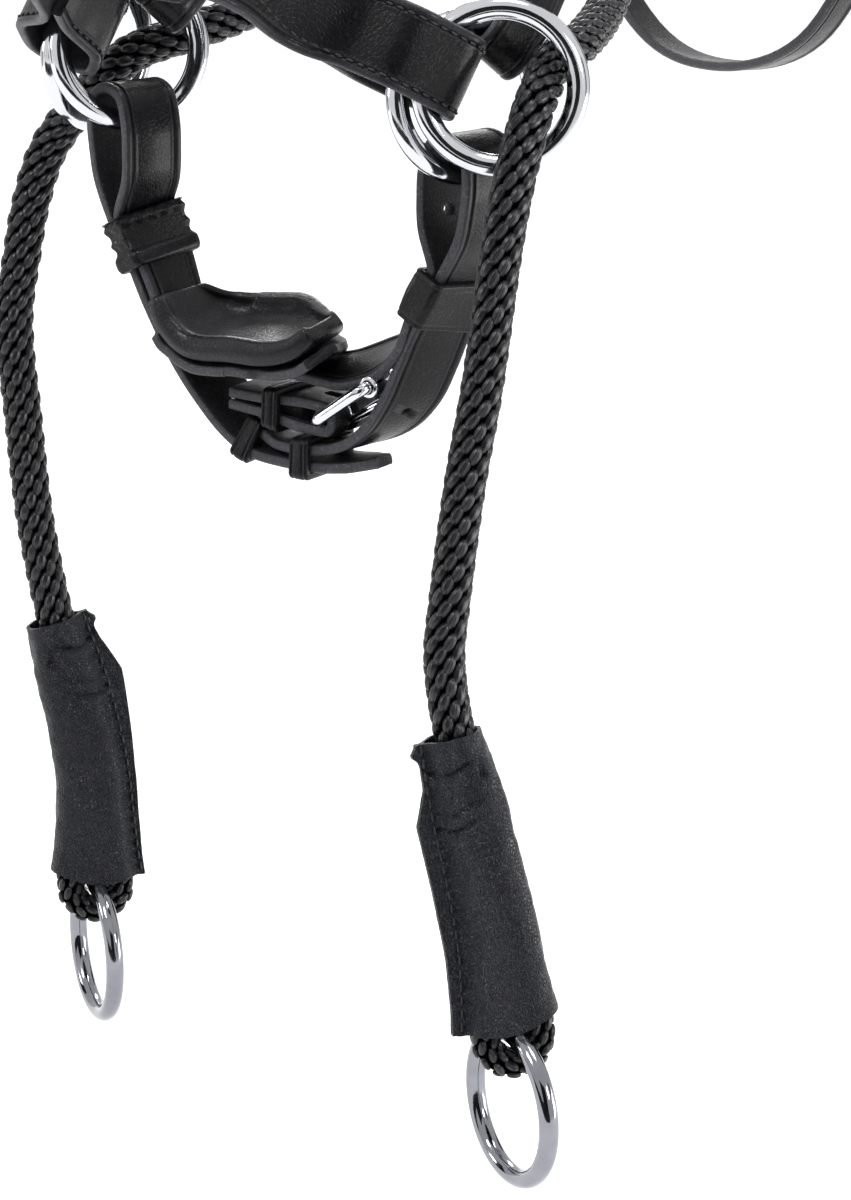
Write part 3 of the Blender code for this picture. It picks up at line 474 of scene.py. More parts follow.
# Chrome-tanned garment leather: soft, a little blue in its black, with a fine pebbled grain. The
# real cells are about 0.5 mm; they are drawn as 1.0 mm so that they show.
sleeve_leather = leather("chrome_tanned_leather", "#1d1e25", "#0f1016", "#23252f", 1.0, 2.4, 0.34,
    0.14, {"Specular IOR Level": 0.22, "Sheen Weight": 0.05})
# Cut edges are paler than the faces and densely speckled: part dyed edge, part painted highlight
cut_edge = leather("cut_edge_dye_and_painted_highlight", "#1f1f23", "#17171a", "#34343a", 0.7, 1.2, 0.40, 0.55,
    {"Specular IOR Level": 0.35})
thread, tree, shader = new_material("waxed_polyester_thread", "#0e0e10", {"Roughness": 0.5})
where = add_node(tree, "ShaderNodeTexCoord")
ply = add_node(tree, "ShaderNodeTexNoise", {"Vector": where.outputs["Object"], "Scale": 1500.0})
lay = add_node(tree, "ShaderNodeBump", {"Height": ply.outputs[0], "Strength": 0.5,
    "Distance": 0.0002})
tree.links.new(lay.outputs[0], shader.inputs["Normal"])

# A row of stitches: one small rounded bar of thread for each stitch, pulled into the leather
sewing, given, result = new_tree("row_of_stitches",
    [("Pitch", "Float"), ("Stitch", "Float"), ("Thread", "Float"), ("Material", "Material")])
spaced = add_node(sewing, "GeometryNodeResampleCurve",
    {"Curve": given.outputs[0], "Length": given.outputs["Pitch"]}, mode="LENGTH")
flow = add_node(sewing, "GeometryNodeInputTangent")
facing = add_node(sewing, "FunctionNodeAlignRotationToVector", {"Vector": flow.outputs[0]},
    axis="Z")
bead = add_node(sewing, "GeometryNodeMeshUVSphere", {"Segments": 6, "Rings": 5, "Radius": 0.5})
long = add_node(sewing, "ShaderNodeCombineXYZ",
    {0: given.outputs["Thread"], 1: given.outputs["Thread"], 2: given.outputs["Stitch"]})
row = add_node(sewing, "GeometryNodeInstanceOnPoints",
    {"Points": spaced.outputs[0], "Instance": bead.outputs[0], "Rotation": facing.outputs[0],
    "Scale": long.outputs[0]})
row = add_node(sewing, "GeometryNodeRealizeInstances", {0: row.outputs[0]})
row = add_node(sewing, "GeometryNodeSetShadeSmooth", {0: row.outputs[0]})
row = add_node(sewing, "GeometryNodeSetMaterial",
    {"Geometry": row.outputs[0], "Material": given.outputs["Material"]})
sewing.links.new(row.outputs[0], result.inputs[0])


def joined(name, parts):
    """Make one mesh of several."""
    work = bmesh.new()
    for part in parts:
        work.from_mesh(part.data)
        old = part.data
        bpy.data.objects.remove(part)
        bpy.data.meshes.remove(old)
    data = bpy.data.meshes.new(name)
    work.to_mesh(data)
    work.free()
    data.shade_smooth()
    made = bpy.data.objects.new(name, data)
    bpy.context.collection.objects.link(made)
    return made


def stitches(name, rows, pitch=3.2, length=2.6, width=0.8):
    """Sew rows of points with thread and keep them as one piece."""
    sewn = [grown("%s_%d" % (name, k), sewing, row,
        {"Pitch": pitch * MM, "Stitch": length * MM, "Thread": width * MM, "Material": thread})
        for k, row in enumerate(rows)]
    made = joined(name, sewn)
    made.data.materials.append(thread)
    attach(made, "bridle")
    return made


def sleeve_outline(off, wall, seam):
    """Half of a sleeve's outline, from its fold round to the middle of the seam's edge."""
    half = SEAM_THICKNESS / 2
    root = math.asin(half / wall)
    out = [(off + wall * math.cos(math.radians(d)), wall * math.sin(math.radians(d)))
        for d in range(0, 91, 9)]
    out += [(off * (1 - 2 * t / 6), wall - 0.9 * math.sin(math.pi * t / 6) * min(1, off / 4))
        for t in range(1, 6)]
    for step in range(8):
        d = math.pi / 2 + (math.pi / 2 - root) * step / 8
        out.append((-off + wall * math.cos(d), wall * math.sin(d)))
    start = -off - wall * math.cos(root)
    end = -off - wall - seam
    out += [(start + (end - start) * t / 5, half - 0.25 * math.sin(math.pi * t / 5))
        for t in range(1, 5)]
    out += [(end, half), (end - 0.25, half * 0.8), (end - 0.3, half * 0.35), (end + 0.1, 0.0)]
    return out


# How far the seam's edges stand out, by the share of the way down, and where the leather is
# creased: share of the way down, depth and how far the crease runs from the seam. The hem rises
# towards the fold and hangs down in its middle.
SEAM_RUN = {"left": [(0.0, 1.6), (0.15, 1.0), (0.27, 4.8), (0.6, 4.4), (1.0, 2.8)],
    "right": [(0.0, 1.6), (0.12, 2.6), (0.25, 5.6), (0.6, 2.6), (1.0, 1.4)]}
CREASES = [(0.10, 1.7, 12), (0.29, 1.3, 9), (0.235, 0.8, 14)]
SEAM_GROOVE = 1.7
SLIT_DEPTH = 1.6
STITCH_PULL = 0.22
SLEEVE_PITCH = 3.8
HEM_RISE = 3.0
HEM_DROP = 4.2


def rope_sleeve(side):
    stations, down = sleeve_line(side)
    inward = 1 if side == "right" else -1
    outer, inner, seam_rows = [], [], [[], []]
    last = len(stations) - 1
    for k, (point, wide, thick) in enumerate(stations):
        share = k / last
        off, size = between(SPREAD, share)
        flare = max(0, 1 - share * 12) * 0.5 + max(0, share * 14 - 13) * 0.4
        wall = (size / 2 + 0.3) * 1.06 + SLEEVE_WALL + flare
        seam = between(SEAM_RUN[side], share)[0] + 1.8 * math.exp(-((share - 0.035) / 0.018) ** 2)
        half = sleeve_outline(off, wall, seam)
        shape = half + [(x, -y) for x, y in reversed(half[1:-1])]
        row = []
        for x, y in shape:
            spot = Vector((x * 0.16, y * 0.16 + (4 if y < 0 else 0),
                share * 9 + (0 if side == "left" else 7)))
            fold = noise.noise(spot) * 0.55 + noise.noise(spot * 2.7) * 0.3
            from_seam = x + off + wall
            pull = (STITCH_PULL * math.sin(share * SLEEVE_LENGTH * 2 * math.pi / SLEEVE_PITCH)
                * math.exp(-((from_seam - 0.6) / 1.6) ** 2))
            swell = Vector((0, 0))
            if x > -off - wall:
                swell = Vector((x, y)).normalized() * (fold * (1.2 - 0.6 * share) - 0.25)
            sunk = SEAM_GROOVE * math.exp(-((from_seam - 1.5) / 1.3) ** 2)
            for crease, deep, reach in CREASES:
                away = share - crease - 0.012 * math.sin(from_seam * 0.35)
                fade = math.exp(-(max(0.0, from_seam - 2) / reach) ** 2) if from_seam > 0 else 0.0
                sunk += deep * fade * (math.exp(-(away / 0.006) ** 2)
                    - 0.6 * math.exp(-((away - 0.022) / 0.014) ** 2))
            slit = SLIT_DEPTH * math.exp(-((x - off - 1.5) / 0.9) ** 2
                - ((share - 0.13) / 0.028) ** 4)
            if x < -off - wall:
                sunk = -0.6 * noise.noise(Vector((x * 0.5, share * 40, 3)))
            lift = (1 if y > 0 else -1) * (pull - sunk - slit if abs(y) > 0.4 else 0)
            row.append((x + swell.x, y + swell.y + lift))
        hem = [(HEM_RISE * (0.5 + (x + seam / 2) / (2 * (off + wall)))
            - HEM_DROP * math.exp(-(x / (off + 3.5)) ** 2)) * max(0.0, (share - 0.8) / 0.2) ** 1.5
            + 0.5 * noise.noise(Vector((x * 0.3, 0, 8))) * max(0.0, share * 12 - 11)
            for x, _ in row]
        outer.append([point - down * rise + wide * x * -inward + thick * y
            for (x, y), rise in zip(row, hem)])
        bore = wall - SLEEVE_WALL
        shrink = []
        for x, y in row:
            out = Vector((x - math.copysign(off, x), y)).normalized()
            if x > -off - wall + 0.4:
                shrink.append((x - out.x * SLEEVE_WALL, y - out.y * SLEEVE_WALL))
            else:
                shrink.append((-off - bore * 0.99, y * 0.3))
        inner.append([point - down * rise + wide * x * -inward + thick * y
            for (x, y), rise in zip(shrink, hem)])
        for j, up in enumerate((1, -1)):
            if 0.02 < share < 0.98:
                seam_rows[j].append(point + wide * (off + wall + 0.5) * inward
                    + thick * (SEAM_THICKNESS / 2 + 0.05) * up)
    made = skin("sleeve_" + side, outer + list(reversed(inner)), [sleeve_leather], closed=True)
    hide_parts("rope_sleeve_" + side)
    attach(made, "bridle")
    return made, stitches("sleeve_stitching_" + side, seam_rows, SLEEVE_PITCH, 3.0, 1.0)


# All rings are welded steel wire with a polished chrome plate: bright, with soft unevenness left
# from polishing. A rein ring hangs in each rope's eye; its plate is painted greyer than the others'
# as painted dark reflection.
def plated(name, dull, bright):
    """Polished plate; dull and bright are the two ends of its cloudy tint."""
    material, tree, shader = new_material(name, bright, {"Roughness": 0.07, "Metallic": 1.0})
    where = add_node(tree, "ShaderNodeTexCoord")
    haze = add_node(tree, "ShaderNodeTexNoise",
        {"Vector": where.outputs["Object"], "Scale": 160.0, "Detail": 3.0})
    wear_and_sheen = add_node(tree, "ShaderNodeMapRange",
        {0: haze.outputs[0], 1: 0.35, 2: 0.75, 3: 0.05, 4: 0.16})
    tree.links.new(wear_and_sheen.outputs[0], shader.inputs["Roughness"])
    waves = add_node(tree, "ShaderNodeBump",
        {"Height": haze.outputs[0], "Strength": 0.10, "Distance": 0.0008})
    tree.links.new(waves.outputs[0], shader.inputs["Normal"])
    tint = add_node(tree, "ShaderNodeMix", {0: haze.outputs[0], 6: colour(dull), 7: colour(bright)},
        data_type="RGBA")
    tree.links.new(tint.outputs[2], shader.inputs["Base Color"])
    return material


chrome = plated("polished_chrome_plate", "#bfc0c6", "#d2d3d6")
# The same chrome painted darker for the rein rings: painted dark reflection
chrome_painted_dark_reflection = plated("chrome_plate_painted_dark_reflection", "#77787f", "#94959b")
RING_OUTER = 50.0
RING_WIRE = 6.5
REIN_RING_OUTER = 48.5


def turns(count, start=0):
    """Angles at even steps round a circle."""
    return [2 * math.pi * (j + start) / count for j in range(count)]


class Ring:
    """A wire ring: its centre, axes and wire, with its face turned along a compass direction."""

    def __init__(self, centre, azimuth, elevation, outer=RING_OUTER, wire=RING_WIRE):
        a, e = math.radians(azimuth), math.radians(elevation)
        self.out = Vector((math.sin(a) * math.cos(e), -math.cos(a) * math.cos(e), math.sin(e)))
        self.right = Vector((math.cos(a), math.sin(a), 0))
        self.up = self.out.cross(self.right)
        self.centre = centre
        self.radius = (outer - wire) / 2
        self.wire = wire

    def at(self, degrees):
        a = math.radians(degrees)
        return self.centre + (self.right * math.cos(a) + self.up * math.sin(a)) * self.radius

    def tangent(self, degrees):
        a = math.radians(degrees)
        return self.up * math.cos(a) - self.right * math.sin(a)

    def build(self, name, body, plate):
        sections = []
        for a in turns(96):
            radial = self.right * math.cos(a) + self.up * math.sin(a)
            sections.append([self.centre + radial * self.radius
                + (radial * math.cos(b) + self.out * math.sin(b)) * self.wire / 2
                for b in turns(24)])
        made = skin(name + "_wire", sections, [plate], closed=True)
        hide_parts(name)
        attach(made, body)
        return made


REIN_RING_AZIMUTH = {"left": -27, "right": -34}
for side in ("left", "right"):
    ring = Ring(eyes[side], REIN_RING_AZIMUTH[side], 0, REIN_RING_OUTER, REIN_RING_WIRE)
    ring.centre = eyes[side] - ring.up * ring.radius
    rein_ring = ring.build("rein_ring_" + side, "rein_ring_" + side, chrome_painted_dark_reflection)
    cover, sewn = rope_sleeve(side)

# The four cheek rings: on each side one carries the straps, and the rope runs through the other
RINGS = {"noseband_ring_left": Ring(mouth(56.3, 5.0, -2.5), 63, 9.5),
    "rope_ring_left": Ring(mouth(73.1, -2.6, 3.1), 37, 9.5),
    "noseband_ring_right": Ring(mouth(-65.2, 3.9, 0.0), 57, 9.5),
    "rope_ring_right": Ring(mouth(-83.5, 11, -3.2), 90, 0)}
for name, ring in RINGS.items():
    ring.build(name, name, chrome)

# Every strap is cut from 3.3 mm vegetable-tanned bridle leather. Its edges are bevelled, dyed and
# burnished, a crease line runs along each edge of the face, and the back is left as it was split.
LEATHER = 3.3
GAP = 0.3
PLY = (LEATHER + GAP) / 2
FOLD_REACH = 34
bridle_leather = leather("waxed_bridle_leather", "#19191d", "#09090b", "#151518", 1.3, 0.5, 0.33,
    0.10, {"Specular IOR Level": 0.10, "Coat Weight": 0.14, "Coat Roughness": 0.17})
split_back = leather("split_leather_back", "#222226", "#0b0b0d", "#18181b", 0.9, 0.8, 0.5, 0.15,
    {"Specular IOR Level": 0.15})


def strap_outline(width, thick):
    """One cross-section: across, out of the face, wear and painted highlight, and its material's
    number.
    """
    half, top = width / 2, thick / 2
    draw = min(1.0, half / 7)
    # The third number lightens the colour: part edge wear, part painted highlight on bevels and
    # raised rims
    face = [(half, top - 1.1, 0.7, 1), (half - 0.12, top - 0.6, 1.0, 1),
        (half - 0.45, top - 0.2, 0.9, 0)]
    face += [(half - x * draw, top + y, w, 0)
        for x, y, w in ((0.95, 0.0, 0.5), (1.7, 0.02, 0.3), (2.2, -0.12, 0.2), (2.55, -0.5, 0.0),
        (2.85, -0.5, 0.0), (3.15, -0.1, 0.15), (3.5, 0.0, 0.3), (4.0, -0.14, 0.0),
        (4.6, -0.05, 0.0))]
    back = [(half * 0.3, -top, 0.0, 2), (half - 1.3 * draw, -top, 0.2, 2),
        (half - 0.5, -top + 0.2, 0.6, 2), (half - 0.1, -top + 0.7, 0.8, 1)]
    ring = face + [(-x, y, w, m) for x, y, w, m in reversed(face)]
    ring += [(-x, y, w, m) for x, y, w, m in reversed(back)] + back
    bands = []
    for k, (x, y, w, m) in enumerate(ring):
        after = ring[(k + 1) % len(ring)]
        bands.append(1 if 1 in (m, after[3]) else m)
    return ring, bands


# What each strap fills, for the keepers that hug it: middle, half its width and half its thickness
RUNS = {}


def strap(name, node, route, across, width, steps=8, face=1, tips=(0, 0)):
    """A strap along its route; tips are the lengths over which its two ends are pointed."""
    stations = stations_of(route, across, steps)
    last = len(stations) - 1
    run = [0.0]
    for a, b in zip(stations, stations[1:]):
        run.append(run[-1] + (b[0] - a[0]).length)
    sections, edge_wear_and_highlights, RUNS[node] = [], [], []
    for k, (point, side, out) in enumerate(stations):
        wide = width
        if isinstance(width, list):
            place = k / last * (len(width) - 1)
            low = min(int(place), len(width) - 2)
            wide = width[low] + (width[low + 1] - width[low]) * (place - low)
        for tip, left in zip(tips, (run[k], run[-1] - run[k])):
            if tip and left < tip:
                wide = min(wide, 8.0 + (wide - 8.0) * (1 - (1 - left / tip) ** 2.0))
        ring, bands = strap_outline(wide, LEATHER)
        RUNS[node].append((point, side * wide / 2, out * LEATHER / 2))
        sections.append([point + side * x + out * y * face for x, y, _, _ in ring])
        edge_wear_and_highlights += [w for _, _, w, _ in ring]
    made = skin(name, sections, [bridle_leather, cut_edge, split_back], bands)
    edge_wear_and_highlight = made.data.attributes.new("edge_wear_and_highlight", "FLOAT", "POINT")
    edge_wear_and_highlight.data.foreach_set("value", edge_wear_and_highlights)
    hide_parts(node)
    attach(made, "bridle")
    return made, stations


def fold(centre, along, outward, gap, reach, close, end=None, hug=0.75):
    """Route of a strap that comes in, turns round a bar and goes back: outer layer first."""
    end = end or gap
    waist = close * hug + gap * (1 - hug)
    half = [(reach, close), (reach * 0.62, waist), (reach * 0.28, gap * 0.98), (0, gap),
        (-end * 0.74, gap * 0.76)]
    there = [centre + along * a + outward * b for a, b in half]
    back = [centre + along * a - outward * b for a, b in reversed(half)]
    return there + [centre - along * end] + back


def ring_fold(wires, axis, along, width, reach, close, hug=0.75, slack=0.0):
    """Fold of a strap round the wires of one or two rings, sized from where the wires run in it."""
    axis = axis.normalized()
    along = (along - axis * along.dot(axis)).normalized()
    outward = along.cross(axis)
    centre = sum((item.at(angle) for item, angle in wires), Vector()) / len(wires)
    across, closing = [], []
    for item, angle in wires:
        for step in range(-80, 81, 2):
            place = item.at(angle + step) - centre
            if abs(place.dot(axis)) <= width / 2 + item.wire / 2:
                across.append(place.dot(outward))
                closing.append(-place.dot(along))
    room = RING_WIRE / 2 + GAP + LEATHER / 2
    middle = centre + outward * (min(across) + max(across)) / 2
    gap = (max(across) - min(across)) / 2 + room + slack
    return fold(middle, along, outward, gap, reach, close, max(closing) + room + 0.4, hug), axis


# The nosepiece is one strap. Each end turns round both rings of its side and is sewn back on
# itself, and a padded lining is sewn under its wide middle, which lies on the horse's nose.
NOSE_STEPS = 9
NOSE_END_WIDTH = 24.0
NOSE_WIDTH = 32.0
NOSE_PAD_WIDTH = 38.0
PAD_THICKNESS = 8.0
NOSE_HOLD = {"left": (160, 145), "right": (150, 140)}
INWARD = {"left": -1, "right": 1}
NOSE_TOP = [(24, -50, 39), (6, -64, 47), (-14, -68, 49), (-34, -60, 44), (-50, -46, 35)]
FACE_UP = Vector((0, 0.66, 0.75))
folds = {}
for side in ("left", "right"):
    wires = list(zip((RINGS["noseband_ring_" + side], RINGS["rope_ring_" + side]), NOSE_HOLD[side]))
    axis = -sum((item.tangent(angle) for item, angle in wires), Vector())
    along = Vector((0.54 * INWARD[side], -0.72, 0.44))
    folds[side] = ring_fold(wires, axis, along, NOSE_END_WIDTH, 36, PLY, slack=1.2)
    if (folds[side][0][3] - folds[side][0][7]).x * INWARD[side] > 0:
        folds[side] = (list(reversed(folds[side][0])), folds[side][1])
middle = [mouth(*point) for point in NOSE_TOP]
left, right = folds["left"][0], folds["right"][0]
route = list(reversed(left)) + middle + right
across = [folds["left"][1]] * len(left) + [FACE_UP] * len(middle) + [folds["right"][1]] * len(right)
across = [side if side.z > 0 else -side for side in across]
end = [NOSE_END_WIDTH] * (len(left) - 1)
widths = end + [NOSE_END_WIDTH + 3] + [NOSE_WIDTH] * len(middle) + [NOSE_END_WIDTH + 3] + end
_, stations = strap("nosepiece_strap", "nosepiece", route, across, widths, NOSE_STEPS, face=-1)

# The pads are felt in a cover of soft leather: crowned, drawn in at the seam round their edge, and
# puckered a little between the stitches.
pad_leather = leather("soft_pad_leather", "#1e1e22", "#0e0e10", "#1c1c20", 1.2, 0.5, 0.33, 0.08,
    {"Specular IOR Level": 0.16, "Coat Weight": 0.12, "Coat Roughness": 0.2})
PAD_PITCH = 5.2
CUSHION = [(-1, 0.0), (-0.94, 0.3), (-0.72, 0.52), (-0.35, 0.6), (0.35, 0.6), (0.72, 0.52),
    (0.94, 0.3), (1, 0.0), (0.94, -0.22), (0.6, -0.4), (-0.6, -0.4), (-0.94, -0.22)]


def narrowed(share):
    """What is left of the chin pad's width at a share of its length."""
    near = max(0.0, 1 - share / 0.30)
    far = max(0.0, (share - 0.5) / 0.5)
    return 1 - 0.40 * near ** 1.3 - 0.55 * far ** 1.3


def pad(name, node, stations, width, thick, lift, outline=CUSHION, dish=0.0):
    """A padded lining along a strap's stations, crowned and drawn in like the felt in it.

    dish is the depth of a hollow in its face, which runs out towards both ends; such a pad is also
    narrower towards its ends, at its far side.
    """
    loop = [Vector((a, b, 0)) for a, b in outline]
    ring = []
    for k in range(len(loop)):
        four = [loop[(k + n) % len(loop)] for n in (-1, 0, 1, 2)]
        ring += [curve_point(*four, step / 5) for step in range(5)]
    last = len(stations) - 1
    sections, run = [], 0.0
    for k, (point, side, out) in enumerate(stations):
        run += (point - stations[max(k - 1, 0)][0]).length
        bow = math.sin(math.pi * min(max(k / last, 0.0), 1.0))
        swell = 0.45 + 0.55 * bow ** 0.35
        draw = 0.90 + 0.10 * bow ** 0.5
        row = []
        for spot in ring:
            edge = abs(spot.x)
            pucker = ((0.05 if dish else 0.35) * math.sin(run * 2 * math.pi / PAD_PITCH)
                * math.exp(-((edge - 0.9) / 0.08) ** 2))
            channel = (-0.9 * math.exp(-((edge - 0.84) / 0.035) ** 2) if spot.y > 0.1 and not dish
                else 0.0)
            if spot.y > 0.1:
                channel -= dish * bow ** 0.6 * max(0.0, 1 - (edge / 0.76) ** 8)
            soft = noise.noise(Vector((spot.x * 1.6, run * 0.08, spot.y))) * 0.5
            kept = 1 if spot.y > 0 else 0.3
            rise = thick * swell * spot.y + (pucker + channel + soft) * kept * bow ** 0.3
            place = (spot.x + 1) * (narrowed(k / last) if dish else 1.0) - 1
            row.append(point + out * (lift + rise) + side * width / 2 * draw * place)
        sections.append(row)
    made = skin(name, sections, [pad_leather])
    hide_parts(node)
    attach(made, "bridle")


def finer(stations, first, last, count):
    """Stations between two places of a strap, read again at even steps."""
    out = []
    for k in range(count):
        place = first + (last - first) * k / (count - 1)
        low = min(int(place), len(stations) - 2)
        t = place - low
        out.append(tuple(a.lerp(b, t) for a, b in zip(stations[low], stations[low + 1])))
    return out


lift = LEATHER / 2 + GAP + PAD_THICKNESS * 0.4
first = NOSE_STEPS * len(left) + 6
last = NOSE_STEPS * (len(left) + len(middle) - 1) - 6
pad("nosepiece_lining", "nosepiece_padding", finer(stations, first, last, 90), NOSE_PAD_WIDTH,
    PAD_THICKNESS, lift)


def sewn_rows(stations, first, last, inset, width, rise, face=1):
    """Rows for stitches along both edges of a strap, on its face."""
    rows = []
    for sign in (-1, 1):
        rows.append([point + side * (width / 2 - inset) * sign + out * rise * face
            for point, side, out in stations[first:last]])
    return rows


sewn = sewn_rows(stations, NOSE_STEPS, NOSE_STEPS * (len(left) + 1), 2.7, NOSE_END_WIDTH,
    LEATHER / 2, -1)
sewn += sewn_rows(stations, -NOSE_STEPS * (len(right) + 1), -NOSE_STEPS, 2.7, NOSE_END_WIDTH,
    LEATHER / 2, -1)
stitches("nosepiece_stitching", sewn, pitch=3.4, length=2.4, width=0.9)


# The chin strap hangs from the inner rings and buckles under the jaw. The half on the horse's right
# is doubled and ends in a point; the punched half comes from the left and lies over it.
CHIN_Y = 3.5
CHIN_WIDTH = 20.0
CHIN_PAD_WIDTH = 42.0
BACK = Vector((0, 1, 0))
CHIN_STRAP_LOWER = [(-59.0, -56.8), (-55.6, -63.6), (-50.3, -75.4), (-42.0, -88.0), (-32.0, -99.5),
    (-22.0, -109.0), (-12.0, -114.6), (0.0, -116.2), (12.0, -115.9), (22.0, -114.6), (30.0, -112.8)]
CHIN_STRAP_INNER = [(-16.0, -88.6), (-27.0, -89.6), (-38.6, -86.6), (-45.4, -78.2), (-48.8, -70.0),
    (-52.2, -62.2), (-55.7, -55.2)]
CHIN_BILLET_INNER = [(-9.0, -88.2), (2.0, -88.0), (12.0, -87.4), (20.5, -86.0), (30.5, -81.6),
    (39.5, -75.4), (45.8, -68.8), (49.2, -62.6), (52.1, -56.8)]
CHIN_BILLET_LOWER = [(55.4, -58.6), (52.2, -65.2), (48.8, -72.4), (44.6, -82.0), (39.6, -92.0),
    (32.0, -101.4), (22.0, -107.9), (10.0, -110.9), (-4.0, -111.3), (-18.0, -107.0)]
CHIN_PAD_ROUTE = [(-42.5, -71.0), (-37.0, -77.4), (-28.0, -81.2), (-14.0, -80.0), (-2.0, -79.6),
    (8.0, -77.0), (15.0, -71.6)]
CHIN_HEEL = (13.6, -101.0)
CHIN_FOLD_AZIMUTH = {"left": 77, "right": 72}
# How each ply is turned at the points of its route: degrees round the vertical, and up at its
# far edge
CHIN_STRAP_WAYS = ([(90, 0), (90, 0), (90, 4), (86, 4), (80, 0), (74, 0), (72, 0)],
    [(72, 0), (74, 0), (84, 6), (90, 16), (92, 20), (92, 14), (90, 4), (90, 0), (90, 0), (90, 0),
    (90, 0)])
CHIN_BILLET_WAYS = ([(90, 0), (90, 4), (92, 14), (95, 25), (94, 28), (86, 18), (74, 2), (70, 0),
    (72, 0)], [(72, 0), (68, 0), (62, 0), (60, 0), (62, 0), (70, 0), (82, 0), (90, 0), (90, 0),
    (90, 0)])
CHIN_FOLD_REACH = 28


def chin_point(x, z):
    return mouth(x, CHIN_Y, z)


def way_across(azimuth, rise):
    a, b = math.radians(azimuth), math.radians(rise)
    return Vector((math.cos(a) * math.cos(b), math.sin(a) * math.cos(b), math.sin(b)))


chin_leather, chin_stations, chin_ways = {}, {}, {}
for name, side, inner, lower, ways in (("chin_strap", "right", CHIN_STRAP_INNER, CHIN_STRAP_LOWER,
        CHIN_STRAP_WAYS), ("chin_billet", "left", CHIN_BILLET_INNER, CHIN_BILLET_LOWER,
        CHIN_BILLET_WAYS)):
    turned, axis = ring_fold([(RINGS["noseband_ring_" + side], 270)],
        way_across(CHIN_FOLD_AZIMUTH[side], 0), Vector((0.10 * INWARD[side], 0, -1)), CHIN_WIDTH,
        CHIN_FOLD_REACH, PLY + 0.4, 0.25, 0.8)
    if (turned[3] - turned[7]).x * INWARD[side] > 0:
        turned.reverse()
    route = [chin_point(*p) for p in inner] + list(reversed(turned)) + [chin_point(*p)
        for p in lower]
    across = [way_across(*way) for way in ways[0]] + [axis] * len(turned) + [way_across(*way)
        for way in ways[1]]
    chin_ways[side] = axis
    widths = [CHIN_WIDTH] * (len(route) - 2) + [CHIN_WIDTH * 0.9, CHIN_WIDTH * 0.4]
    chin_leather[name], chin_stations[name] = strap(name + "_leather", name, route, across, widths,
        face=-1 if name == "chin_strap" else 1)

CHIN_PAD_WAYS = [(90, 0), (90, 5), (91, 9), (93, 10), (95, 9), (98, 6), (102, 0)]
chin_pad_line = stations_of([chin_point(*p) for p in CHIN_PAD_ROUTE],
    [way_across(*w) for w in CHIN_PAD_WAYS], 14)
CHIN_OUTLINE = [(-1, -0.05), (-1.0, 0.28), (-0.93, 0.56), (-0.84, 0.62), (-0.74, 0.54),
    (-0.62, 0.50), (0.0, 0.48), (0.62, 0.50), (0.74, 0.56), (0.88, 0.64), (0.97, 0.60), (1, 0.2),
    (1, -0.2), (0.94, -0.38), (0.4, -0.4), (-0.4, -0.4), (-0.9, -0.34)]
pad("chin_cushion", "chin_pad", chin_pad_line, CHIN_PAD_WIDTH, PAD_THICKNESS, 0,
    outline=CHIN_OUTLINE, dish=4.4)
under = -(PAD_THICKNESS * 0.4 + GAP + LEATHER / 2 + 0.5)
backing, widths, ways = [], [], []
for n in range(5, len(chin_pad_line) - 7, 6):
    point, side, out = chin_pad_line[n]
    share = n / (len(chin_pad_line) - 1)
    kept = narrowed(share) * (1 - 2.0 * max(0.0, share - 0.68))
    widths.append((CHIN_PAD_WIDTH - 2) * kept)
    backing.append(point + out * under - side * (1 - kept) * CHIN_PAD_WIDTH / 2)
    ways.append(side)
strap("chin_pad_sole", "chin_pad_backing", backing, ways, widths, steps=4, face=-1)

# Each buckle is a bent and welded wire frame with a wire tongue that wraps its heel bar; the chin
# buckle has a roller on its toe bar, so that the strap pulls through easily.
BUCKLE_WIRE = 3.6
BUCKLE_LENGTH = 21.0
TONGUE_WIRE = 2.4
ROLLER = 6.6
# The slot that a tongue goes through in the fold of its strap
SLOT_WIDTH = 4.0
SLOT_LENGTH = 16.0


def wire(name, node, points, radii, body, closed=False, plane=None):
    """Round wire along points that lie in one plane."""
    sections = []
    last = len(points) - 1
    for k, point in enumerate(points):
        ahead = points[(k + 1) % len(points)] if closed or k < last else point
        behind = points[k - 1] if closed or k else point
        along = (ahead - behind).normalized()
        rise = along.cross(plane).normalized()
        sections.append([point + (plane * math.cos(t) + rise * math.sin(t)) * radii[k]
            for t in turns(16)])
    made = skin(name, sections, [chrome], closed=closed)
    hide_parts(node)
    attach(made, body)


